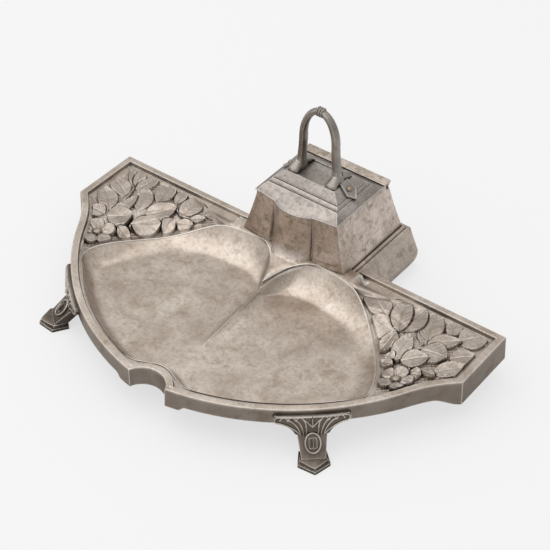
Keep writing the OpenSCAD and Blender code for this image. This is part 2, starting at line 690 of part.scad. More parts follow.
module house_hinge_leaf() {
    inner = lid_knuckle_l / 2 + knuckle_gap;
    color(dark_metal) difference() {
        union() {
            intersection() {
                across_x() difference() {
                    flare_section(house_rear + leaf_t, rear_flare, eps);
                    flare_section(house_rear, rear_flare, eps / 2);
                }
                translate([-knuckle_end, 0, mouth_z - leaf_h - 2 * knuckle_r])
                    cube([2 * knuckle_end, far, leaf_h - trough_gap]);
            }
            for (side = [-1, 1]) {
                translate([side > 0 ? inner : -knuckle_end, house_rear + 0.02, hinge_z - knuckle_r - 1])
                    cube([knuckle_end - inner, leaf_t * 0.8, 1.4]);
                knuckle(side > 0 ? inner : -knuckle_end, side > 0 ? knuckle_end : -inner, pin_r);
            }
        }
        for (x = hinge_rivet_x) rivet_hole(x);
        translate([-knuckle_end - 1, hinge_y, hinge_z]) rotate([0, 90, 0])
            cylinder(h = 2 * knuckle_end + 2, r = pin_r, $fn = 64);
    }
}

module lid_hinge_leaf() {
    l = lid_knuckle_l;
    leaf_d = flange_d - flange_past;
    color(dark_metal) difference() {
        union() {
            knuckle(-l / 2, l / 2, pin_r + pin_gap);
            translate([-l / 2, hinge_y - leaf_d, mouth_z - leaf_t]) cube([l, leaf_d, leaf_t]);
        }
        translate([-l / 2 - 1, hinge_y, hinge_z]) rotate([0, 90, 0])
            cylinder(h = l + 2, r = pin_r + pin_gap, $fn = 64);
    }
}

module hinge_pin() {
    color(dark_metal) translate([-knuckle_end - 0.6, hinge_y, hinge_z]) rotate([0, 90, 0])
        cylinder(h = 2 * knuckle_end + 1.2, r = pin_r, $fn = 64);
}

module hinge_rivets() {
    color(dark_metal) for (x = hinge_rivet_x) {
        translate([x, 0, hinge_rivet_z]) rotate([-90, 0, 0]) {
            inside = house_rear - house_t + 0.4;
            outside = house_rear + leaf_t + 0.9;
            translate([0, 0, inside]) cylinder(h = outside - inside, r = rivet_r, $fn = 32);
            translate([0, 0, inside - 0.5]) cylinder(h = 0.8, r = rivet_r * 1.7, $fn = 32);
            translate([0, 0, outside - 0.4]) cylinder(h = 0.8, r = rivet_r * 1.7, $fn = 32);
        }
    }
}

// ---- lid ----
lid_front = -house_front - eave_over;
lid_rear = hinge_y + flange_past;
lid_half_w = house_w / 2 + eave_over;
hip_rear = lid_rear - flange_d;
lid_y = (lid_front + hip_rear) / 2;
lid_half_d = (hip_rear - lid_front) / 2;
eave_z = mouth_z + eave_t;
slope_z = eave_z + slope_h;
step_z = slope_z + step_h;
crown_z = step_z + crown_h;
slope_half = [lid_half_w - slope_run, lid_half_d - slope_run_y];
step_half = slope_half - [step_run, step_run_y];
crown_half = step_half - [crown_run, crown_run_y];
module slab(half, z, t) { translate([-half[0], -half[1], z]) cube([2 * half[0], 2 * half[1], t]); }
module frustum(lower, z0, upper, z1) {
    hull() {
        slab(lower, z0, eps);
        slab(upper, z1 - eps, eps);
    }
}
module bow_plan(over) {
    intersection() {
        translate([0, bow_r - bow_front]) circle(bow_r + over, $fn = 120);
        translate([-bow_half_w - over, -far]) square([2 * (bow_half_w + over), far]);
    }
}

module lid() {
    inner = [house_w / 2 - house_t - 0.6, lid_half_d - eave_over - house_t - 0.6];
    color(metal) difference() {
        union() {
            translate([0, 0, mouth_z]) linear_extrude(eave_t) {
                translate([-lid_half_w, lid_front]) square([2 * lid_half_w, lid_rear - lid_front]);
                bow_plan(eave_over);
            }
            hull() {
                translate([0, 0, eave_z - eps]) linear_extrude(eps) intersection() {
                    bow_plan(eave_over - 0.3);
                    translate([-far / 2, -far]) square([far, far + lid_front + slope_run_y]);
                }
                translate([-bow_half_w / 2, lid_front + slope_run_y, slope_z - eps])
                    cube([bow_half_w, eps, eps]);
            }
            translate([0, lid_y, 0]) {
                frustum([lid_half_w, lid_half_d] - [0.3, 0.3], eave_z - eps, slope_half, slope_z);
                frustum(slope_half, slope_z - eps, step_half, step_z);
                frustum(step_half - [0.2, 0.2], step_z - eps, crown_half, crown_z);
            }
        }
        translate([0, lid_y, 0]) {
            frustum(inner, mouth_z - eps, step_half - 1.1 * [lid_t, lid_t], step_z - lid_t);
            frustum(step_half - 1.2 * [lid_t, lid_t], step_z - lid_t - eps,
                    crown_half - 0.8 * [lid_t, lid_t], crown_z - lid_t);
            slab(crown_half - [1.6, 1.6], crown_z - field_d, 2);
        }
        for (side = [-1, 1]) handle_rivet_bore(side);
    }
}

module lid_flange() {
    color(metal) translate([-lid_half_w, hip_rear, eave_z]) cube([2 * lid_half_w, flange_d, eave_t]);
}

// ---- handle ----
crown_slope = atan(crown_h / crown_run);
arch_top_z = crown_z + arch_h;
arch_spring = 0.56;
leg_in = 2.2;
arch_steps = 9;
// Middle line of the right half of the arch, from its foot to its top
function arch_point(t) = t < arch_spring
    ? [arch_half_w - leg_in * sin(90 * t / arch_spring), crown_z + arch_h * t]
    : let(a = 90 * (t - arch_spring) / (1 - arch_spring))
        [(arch_half_w - leg_in) * cos(a), crown_z + arch_h * (arch_spring + (1 - arch_spring) * sin(a))];
half_arch = [for (i = [0 : arch_steps]) arch_point(i / arch_steps)];
arch = concat(half_arch, [for (i = [arch_steps - 1 : -1 : 0]) [-half_arch[i][0], half_arch[i][1]]]);
arch_sides = 8;
module arch_bar() {
    n = len(arch);
    rings = [for (i = [0 : n - 1]) let(
        along = unit(arch[min(i + 1, n - 1)] - arch[max(i - 1, 0)]),
        out = [along[1], -along[0]],
        low = 1 - sin(180 * i / (n - 1)),
        half_t = (bar_t + leg_gain * low) / 2)
        [for (k = [0 : arch_sides - 1]) let(a = 360 * k / arch_sides,
            c = half_t * cos(a), s = bar_d / 2 * (1 + 0.25 * low) * sin(a))
            [arch[i][0] + out[0] * c, s, arch[i][1] + out[1] * c]]];
    faces = concat(
        [[for (k = [0 : arch_sides - 1]) k]],
        [for (i = [0 : n - 2]) for (k = [0 : arch_sides - 1]) let(
            a = i * arch_sides + k, b = i * arch_sides + (k + 1) % arch_sides)
            each [[a, a + arch_sides, b + arch_sides], [a, b + arch_sides, b]]],
        [[for (k = [arch_sides - 1 : -1 : 0]) (n - 1) * arch_sides + k]]);
    polyhedron([for (r = rings) each r], faces);
}

module toe(way) {
    hull() {
        translate([-2.6, way > 0 ? 0 : -2.6, -0.2]) cube([5.2, 2.6, 5]);
        translate([-2.2, way * (toe_l + 0.8) - 1, -0.2]) cube([4.4, 2, 1.4]);
    }
}

module shield() {
    linear_extrude(1.5) polygon([[-0.5, -3.4], [6, -4.2], [9.4, 0], [6, 4.2], [-0.5, 3.4]]);
}

module on_side_slope(side) {
    translate([side * crown_half[0], lid_y, crown_z]) mirror([side < 0 ? 1 : 0, 0, 0])
        rotate([0, crown_slope, 0]) children();
}
rivet_along = 4.6;
module handle_rivet_bore(side) {
    on_side_slope(side) translate([rivet_along, 0, -4]) cylinder(h = 8, r = rivet_r, $fn = 32);
}

module handle() {
    color(metal) difference() {
        union() {
            translate([0, lid_y, 0]) arch_bar();
            for (side = [-1, 1]) {
                translate([side * arch_half_w, lid_y, crown_z]) for (way = [-1, 1]) toe(way);
                on_side_slope(side) shield();
                hull() {
                    translate([side * arch_half_w - 1.5, lid_y - 3, crown_z]) cube([3, 6, 5]);
                    on_side_slope(side) translate([-0.5, -3, 0]) cube([1, 6, 1.4]);
                }
            }
        }
        for (side = [-1, 1]) handle_rivet_bore(side);
    }
}

module handle_tie() {
    color(metal) translate([-tie_l / 2, lid_y, arch_top_z]) rotate([0, 90, 0]) difference() {
        union() {
            for (x = [0 : 2]) translate([0, 0, x * tie_l / 3])
                cylinder(h = tie_l / 3 - 0.2, r = tie_r, $fn = 40);
            cylinder(h = tie_l, r = tie_r - 0.4, $fn = 40);
        }
        translate([0, 0, -1]) cylinder(h = tie_l + 2, r = bar_t / 2 + 0.3, $fn = 40);
    }
}

module handle_rivets() {
    color(dark_metal) for (side = [-1, 1]) on_side_slope(side) translate([rivet_along, 0, 0]) {
        translate([0, 0, -lid_t]) cylinder(h = lid_t + 1.6, r = rivet_r, $fn = 32);
        translate([0, 0, 1.5]) intersection() {
            translate([0, 0, -0.8]) sphere(2, $fn = 48);
            cylinder(h = 3, r = 3, $fn = 48);
        }
    }
}

// ---- front feet, drawn about the front arc's centre with x outwards from the tray ----
low_lean = skirt_flare;
wing_top_z = rim_z - 3;
scroll_r = 2.6;
hollow_r = 11;
module wing_plan() {
    half = wing_w / 2;
    neck = sole_w / 2 - 1;
    skirt_z = rim_z - skirt_low;
    difference() {
        union() {
            polygon([[-half, wing_top_z - 4], [-half, wing_top_z - 1], [1 - half, wing_top_z],
                     [half - 1, wing_top_z], [half, wing_top_z - 1], [half, wing_top_z - 4],
                     [neck, skirt_z - 6.5], [-neck, skirt_z - 6.5]]);
            for (side = [-1, 1])
                translate([side * (half - scroll_r), wing_top_z - scroll_r]) circle(scroll_r, $fn = 32);
        }
        for (side = [-1, 1]) translate([side * (neck + hollow_r + 1), skirt_z - 9])
            circle(hollow_r, $fn = 48);
    }
}

module wing_bracket() {
    skirt_z = rim_z - skirt_low;
    intersection() {
        rotate([0, 0, -12]) rotate_extrude(angle = 24, $fn = 360) polygon([
            [arc_r + 0.1, rim_z - 1], [arc_r + low_lean, skirt_z], [arc_r - 3, skirt_z],
            [arc_r - 3, skirt_z - 7], [arc_r + low_lean + wing_t, skirt_z - 7],
            [arc_r + low_lean + wing_t, skirt_z], [arc_r + wing_t * 0.6, rim_z - 1]]);
        translate([arc_r, 0, 0]) rotate([90, 0, 90]) linear_extrude(30, center = true) wing_plan();
    }
}

module sole_plan(inset) {
    half = sole_w / 2 - inset;
    tip = arc_r + toe_reach - inset;
    polygon([[arc_r + 5, -half + 1.5], [arc_r + sole_reach - inset, -half],
             [tip - 1.6, -2.4], [tip, 0], [tip - 1.6, 2.4],
             [arc_r + sole_reach - inset, half], [arc_r + 5, half - 1.5]]);
}

module oval(a, b) { polygon([for (k = [0 : 23]) [a * cos(15 * k), b * sin(15 * k)]]); }

module front_foot() {
    waist_z = rim_z - skirt_low - 7;
    waist_half = sole_w / 2 - 1;
    wing_bracket();
    linear_extrude(sole_h / 2) sole_plan(0);
    linear_extrude(sole_h) sole_plan(1.2);
    hull() {
        translate([arc_r + 6, -sole_w / 2 + 2.6, sole_h - 1]) cube([sole_reach - 8, sole_w - 5.2, 1]);
        translate([arc_r - 3, -waist_half, waist_z]) cube([low_lean + wing_t + 3, 2 * waist_half, 1]);
    }
    translate([arc_r + 7.4, 0, waist_z - 2.7]) rotate([0, 46, 0]) {
        translate([0, 0, -1.5]) linear_extrude(2.3) oval(medallion_l / 2, medallion_w / 2);
        translate([-medallion_l / 4, -medallion_w / 4, 0]) cube([medallion_l / 2, medallion_w / 2, 1.4]);
    }
}

module place_foot(side) {
    mirror([side < 0 ? 1 : 0, 0, 0])
        translate([arc_centre[0], arc_centre[1], 0]) rotate(-foot_angle) front_foot();
}

module front_foot_left() { color(metal) place_foot(-1); }
module front_foot_right() { color(metal) place_foot(1); }

module tray() {
    color(metal) {
        difference() {
            polyhedron(tray_points, tray_faces);
            translate([-half_top_w - seat_gap, -plinth_front, plinth_top_z - shoulder_h / 2])
                cube([2 * (half_top_w + seat_gap), far, far]);
            plinth_solid(0);
            house_solid(0);
        }
        blossom(flower_right);
        blossom(flower_left);
    }
}

at_origin() tray();
at_origin() plinth();
at_origin() base_moulding();
at_origin() ink_house();
at_origin() liner_collar();
at_origin() glass_liner();
at_origin() lid();
at_origin() lid_flange();
at_origin() lid_hinge_leaf();
at_origin() house_hinge_leaf();
at_origin() hinge_pin();
at_origin() hinge_rivets();
at_origin() handle();
at_origin() handle_tie();
at_origin() handle_rivets();
at_origin() front_foot_left();
at_origin() front_foot_right();
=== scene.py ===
"""Dresses a silver-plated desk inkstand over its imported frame.

The stand is a two-lobed pen tray with a cast leaf border, a flared ink house on
a plinth, a hinged lid with a looped handle, a glass liner and two winged feet.
Every length in the classes is in millimetres and is measured from the tray's
rear edge, on the middle line and at the table; `Piece` carries it into the
shared frame in metres.
"""
import logging
import math
from dataclasses import dataclass
from enum import Enum
from typing import Callable, Sequence

import bpy
import numpy as np
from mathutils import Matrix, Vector


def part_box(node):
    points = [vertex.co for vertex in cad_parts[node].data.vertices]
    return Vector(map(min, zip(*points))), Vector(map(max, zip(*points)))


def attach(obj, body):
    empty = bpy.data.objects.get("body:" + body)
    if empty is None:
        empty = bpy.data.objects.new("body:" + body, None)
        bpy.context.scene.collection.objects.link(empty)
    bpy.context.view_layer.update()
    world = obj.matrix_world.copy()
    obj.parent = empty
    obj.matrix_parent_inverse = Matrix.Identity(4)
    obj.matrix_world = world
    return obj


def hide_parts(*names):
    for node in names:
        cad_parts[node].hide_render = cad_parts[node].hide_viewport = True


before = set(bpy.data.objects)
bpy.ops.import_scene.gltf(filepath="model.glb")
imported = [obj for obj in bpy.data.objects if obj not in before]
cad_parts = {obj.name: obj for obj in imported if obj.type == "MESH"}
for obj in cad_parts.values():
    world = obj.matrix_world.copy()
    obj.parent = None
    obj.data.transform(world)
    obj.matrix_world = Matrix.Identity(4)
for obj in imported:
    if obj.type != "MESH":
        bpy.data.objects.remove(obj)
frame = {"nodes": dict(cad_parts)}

log = logging.getLogger("inkstand")
MM = 0.001
MERGE_M = 2e-6
COPY_MERGE_M = 5e-6
FLAT_DEGREES = 0.6
SKIRT_FLARE = 0.4
PANEL_SLOPE = math.tan(math.radians(8.0))
REAR_EDGE = float(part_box("tray")[1][1]) / MM - SKIRT_FLARE
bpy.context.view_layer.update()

Array = np.ndarray
Material = bpy.types.Material
Object = bpy.types.Object
Socket = bpy.types.NodeSocket
Tree = bpy.types.NodeTree
Pair = tuple[float, float]
Pairs = tuple[Pair, ...]


def ramp(values: Array, start: float, end: float) -> Array:
    """Eases smoothly from 0 at start to 1 at end.

    Args:
        values: The places at which the ease is wanted.
        start: Where the ease leaves 0.
        end: Where the ease reaches 1.

    Returns:
        The eased values, each between 0 and 1.
    """
    t = np.clip((np.asarray(values, dtype=float) - start) / (end - start), 0.0, 1.0)
    return t * t * (3.0 - 2.0 * t)


def lerp(a: Array | float, b: Array | float, t: Array | float) -> Array:
    """Returns the value t of the way from a to b."""
    return a + (b - a) * t


def swell(distance: Array | float, width: float) -> Array:
    """Returns a soft bump: 1 on its middle line, and almost 0 from two widths away."""
    return np.exp(-(distance / width) ** 2)


def level(plan: Array, z: Array | float) -> Array:
    """Gives plan points their heights."""
    return np.column_stack([plan, np.broadcast_to(z, (len(plan),))])


def straight(a: Sequence[float], b: Sequence[float], count: int) -> Array:
    """Spaces points from a towards b, without b itself."""
    return np.column_stack([np.linspace(p, q, count, endpoint=False) for p, q in zip(a, b)])


def circle(centre: Sequence[float], radius: float, turn: Array | float) -> Array:
    """Returns points of a circle in plan at the given turns, in radians."""
    return np.asarray(centre) + radius * np.stack([np.cos(turn), np.sin(turn)], axis=-1)


def turned(a: Array, b: Array, turn: float) -> tuple[Array, Array]:
    """Turns two co-ordinates about their origin, in radians."""
    return a * math.cos(turn) - b * math.sin(turn), a * math.sin(turn) + b * math.cos(turn)


def unit(rows: Array) -> Array:
    """Scales rows of vectors to a length of 1."""
    return rows / np.linalg.norm(rows, axis=-1, keepdims=True)


def bezier(points: Sequence[Sequence[float]], t: Array) -> Array:
    """Follows a Bezier curve of any degree.

    Args:
        points: The curve's control points.
        t: Places along the curve, from 0 to 1.

    Returns:
        One point for each place, as rows.
    """
    rows = [np.repeat(np.asarray(p, dtype=float)[None, :], len(t), axis=0) for p in points]
    while len(rows) > 1:
        rows = [lerp(a, b, t[:, None]) for a, b in zip(rows, rows[1:])]
    return rows[0]


def hex_linear(code: str) -> tuple[float, float, float, float]:
    """Turns an sRGB hex colour into Blender's linear colour.

    Args:
        code: Six hex digits, with or without a leading mark.

    Returns:
        Red, green, blue and an alpha of 1.
    """
    parts = [int(code.lstrip("#")[i:i + 2], 16) / 255.0 for i in (0, 2, 4)]
    line = [p / 12.92 if p <= 0.04045 else ((p + 0.055) / 1.055) ** 2.4 for p in parts]
    return (line[0], line[1], line[2], 1.0)


class Body(Enum):
    """The rigid bodies that a piece can ride on."""

    ROOT = "root"
    LID = "lid"


class Slot(Enum):
    """The record's material slots."""

    TRAY = "tray_plate"
    HOUSE = "house_plate"
    LID = "lid_plate"
    HANDLE = "handle_plate"
    FOOT = "foot_plate"
    HIDDEN = "hidden_metal"
    GLASS = "liner_glass"


class Piece:
    """Mesh helpers that every sub-assembly shares."""

    @staticmethod
    def deselect() -> None:
        """Deselects every object, so that an operator acts on the new piece alone."""
        if bpy.context.object and bpy.context.object.mode != "OBJECT":
            bpy.ops.object.mode_set(mode="OBJECT")
        bpy.ops.object.select_all(action="DESELECT")

    @staticmethod
    def pick(piece: Object) -> None:
        """Selects one object alone and makes it active."""
        Piece.deselect()
        piece.select_set(True)
        bpy.context.view_layer.objects.active = piece

    @staticmethod
    def place(points: Array) -> Array:
        """Carries points in millimetres from the tray's rear edge into the shared frame."""
        return (np.asarray(points, dtype=float) + (0.0, REAR_EDGE, 0.0)) * MM

    @classmethod
    def made(cls, name: str, points: Array, faces: list[list[int]]) -> Object:
        """Makes an object, merges its doubled corners and turns its faces outwards.

        Args:
            name: The piece's name.
            points: Corners as rows, in millimetres.
            faces: The corners' numbers, face by face.

        Returns:
            The new object, in the shared frame.
        """
        mesh = bpy.data.meshes.new(name)
        mesh.from_pydata(cls.place(points).tolist(), [], faces)
        piece = bpy.data.objects.new(name, mesh)
        bpy.context.scene.collection.objects.link(piece)
        cls.pick(piece)
        bpy.ops.object.mode_set(mode="EDIT")
        bpy.ops.mesh.select_all(action="SELECT")
        bpy.ops.mesh.remove_doubles(threshold=MERGE_M)
        bpy.ops.mesh.normals_make_consistent(inside=False)
        bpy.ops.object.mode_set(mode="OBJECT")
        return piece

    @classmethod
    def skin(cls, name: str, rings: Sequence[Array]) -> Object:
        """Wraps a skin over closed rings of points, as a loft does, and fills both ends.

        Args:
            name: The piece's name.
            rings: Each ring's points as rows, in millimetres.

        Returns:
            The new object, in the shared frame.
        """
        rings = np.asarray(rings)
        cur = np.arange(rings.shape[0] * rings.shape[1]).reshape(rings.shape[:2])
        nxt = np.roll(cur, -1, axis=1)
        faces = np.stack([cur[:-1], cur[1:], nxt[1:], nxt[:-1]], axis=-1).reshape(-1, 4).tolist()
        faces += [cur[0].tolist(), cur[-1][::-1].tolist()]
        return cls.made(name, rings.reshape(-1, 3), faces)

    @classmethod
    def sweep(cls, name: str, path: Array, wide: Array, deep: Array, side: Array,
              sides: int, flute: float = 0.0) -> Object:
        """Sweeps an oval section along a path.

        Args:
            name: The piece's name.
            path: Points of the middle line, in millimetres.
            wide: Half width of the section at each point, along side.
            deep: Half depth of the section at each point, square to side and path.
            side: A direction that the section's width follows.
            sides: Corners of the section.
            flute: Depth of a flute along each end of the width, as a share of it.

        Returns:
            The new object, in the shared frame.
        """
        along = unit(np.gradient(path, axis=0))
        out = np.broadcast_to(np.asarray(side, dtype=float), path.shape)
        out = unit(out - along * (out * along).sum(axis=1)[:, None])
        other = np.cross(along, out)
        turn = np.arange(sides) * 2 * np.pi / sides
        dip = 1 - flute * (np.abs(np.cos(turn)) > 0.93)
        rings = [p + np.outer(np.cos(turn) * dip * w, o) + np.outer(np.sin(turn) * d, q)
                 for p, w, d, o, q in zip(path, wide, deep, out, other)]
        return cls.skin(name, rings)

    @classmethod
    def join(cls, name: str, parts: Sequence[Object]) -> Object:
        """Joins objects into one piece of the given name."""
        cls.pick(parts[0])
        for part in parts:
            part.select_set(True)
        bpy.ops.object.join()
        parts[0].name = name
        return parts[0]

    @classmethod
    def copy_of(cls, source_name: str, name: str) -> Object:
        """Copies a frame node's mesh as a new piece with its triangles merged.

        Args:
            source_name: The frame node that is copied.
            name: The new piece's name.

        Returns:
            The copy, with flat regions dissolved into single faces.
        """
        source = frame["nodes"][source_name]
        piece = bpy.data.objects.new(name, source.data.copy())
        bpy.context.scene.collection.objects.link(piece)
        piece.matrix_world = source.matrix_world.copy()
        cls.pick(piece)
        bpy.ops.object.transform_apply(location=True, rotation=True, scale=True)
        if piece.data.has_custom_normals:
            bpy.ops.mesh.customdata_custom_splitnormals_clear()
        bpy.ops.object.mode_set(mode="EDIT")
        bpy.ops.mesh.select_all(action="SELECT")
        bpy.ops.mesh.remove_doubles(threshold=COPY_MERGE_M)
        bpy.ops.mesh.dissolve_limited(angle_limit=math.radians(FLAT_DEGREES))
        bpy.ops.object.mode_set(mode="OBJECT")
        return piece

    @classmethod
    def modify(cls, piece: Object, kind: str, **settings: object) -> None:
        """Adds a modifier and applies it.

        Args:
            piece: The object that is changed.
            kind: The modifier's type.
            **settings: The modifier's settings.
        """
        cls.pick(piece)
        modifier = piece.modifiers.new(kind.lower(), kind)
        for key, value in settings.items():
            setattr(modifier, key, value)
        bpy.ops.object.modifier_apply(modifier=modifier.name)

    @classmethod
    def soften(cls, piece: Object, width: float, angle: float = 25.0) -> None:
        """Rounds a piece's edges as handling and polishing have.

        Args:
            piece: The object whose edges are rounded.
            width: The rounding's width in millimetres.
            angle: Only edges that turn by more than this, in degrees, are rounded.
        """
        cls.modify(piece, "BEVEL", width=width * MM, segments=2, limit_method="ANGLE",
                   angle_limit=math.radians(angle), use_clamp_overlap=True, profile=0.6)

    @classmethod
    def carve(cls, piece: Object, low: Sequence[float], high: Sequence[float]) -> None:
        """Cuts a box out of a piece.

        Args:
            piece: The object that is cut.
            low: The box's lowest corner, in millimetres.
            high: The box's highest corner, in millimetres.
        """
        cls.deselect()
        ends = cls.place(np.array([low, high]))
        bpy.ops.mesh.primitive_cube_add(size=1.0, location=tuple(ends.mean(axis=0)))
        cutter = bpy.context.object
        cutter.scale = tuple(ends[1] - ends[0])
        bpy.ops.object.transform_apply(location=True, rotation=True, scale=True)
        cls.modify(piece, "BOOLEAN", object=cutter, operation="DIFFERENCE", solver="EXACT")
        bpy.data.objects.remove(cutter, do_unlink=True)

    @classmethod
    def finish(cls, piece: Object, crisp: float, body: Body, slot: Slot,
               material: Material, *stands_for: str) -> None:
        """Shades and dresses a piece and hangs it on its body.

        Args:
            piece: The finished object.
            crisp: Edges sharper than this, in degrees, aren't shaded smooth.
            body: The rigid body that it rides on.
            slot: The record's material slot that it belongs to; not used.
            material: Its finish.
            *stands_for: The frame nodes that it replaces.
        """
        cls.pick(piece)
        bpy.ops.object.shade_smooth_by_angle(angle=math.radians(crisp))
        piece.data.materials.clear()
        piece.data.materials.append(material)
        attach(piece, body.value)
        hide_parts(*stands_for)
        log.info("%s: %d faces on %s", piece.name, len(piece.data.polygons), body.value)


def node(tree: Tree, kind: str, numbered: dict[int, object] | None = None,
         **settings: object) -> bpy.types.Node:
    """Adds a shader node with its settings and links.

    Args:
        tree: The material's or world's node tree.
        kind: The node's type.
        numbered: Inputs given by number, for nodes whose inputs share a name.
        **settings: Properties of the node, or inputs by name; a socket is linked.

    Returns:
        The new node.
    """
    new = tree.nodes.new(kind)
    inputs = dict(numbered or {})
    for key, value in settings.items():
        if hasattr(new, key) and key not in ("inputs", "outputs"):
            setattr(new, key, value)
        else:
            inputs[key] = value
    for key, value in inputs.items():
        socket = new.inputs[key] if isinstance(key, int) else next(
            s for s in new.inputs if s.name == key and s.enabled)
        if isinstance(value, Socket):
            tree.links.new(value, socket)
        else:
            socket.default_value = value
    return new


def cleared(owner: Material | bpy.types.World) -> Tree:
    """Turns on a material's or a world's nodes and empties its tree."""
    owner.use_nodes = True
    owner.node_tree.nodes.clear()
    return owner.node_tree


def mapped(tree: Tree, value: Socket, low: float, high: float,
           start: float = 0.0, end: float = 1.0) -> Socket:
    """Adds a node that maps low to start and high to end, and returns its socket."""
    return node(tree, "ShaderNodeMapRange", Value=value, **{
        "From Min": low, "From Max": high, "To Min": start, "To Max": end}).outputs["Result"]


def mixed(tree: Tree, share: Socket, a: object,
          b: object) -> Socket:
    """Adds a node that mixes two colours, and returns its socket."""
    return node(tree, "ShaderNodeMix", data_type="RGBA", Factor=share, A=a, B=b).outputs["Result"]


def principled(tree: Tree, colour: Socket, **inputs: object) -> None:
    """Adds a principled shader of a colour and other inputs as the material's surface."""
    shader = node(tree, "ShaderNodeBsdfPrincipled", **{"Base Color": colour}, **inputs)
    node(tree, "ShaderNodeOutputMaterial", Surface=shader.outputs["BSDF"])


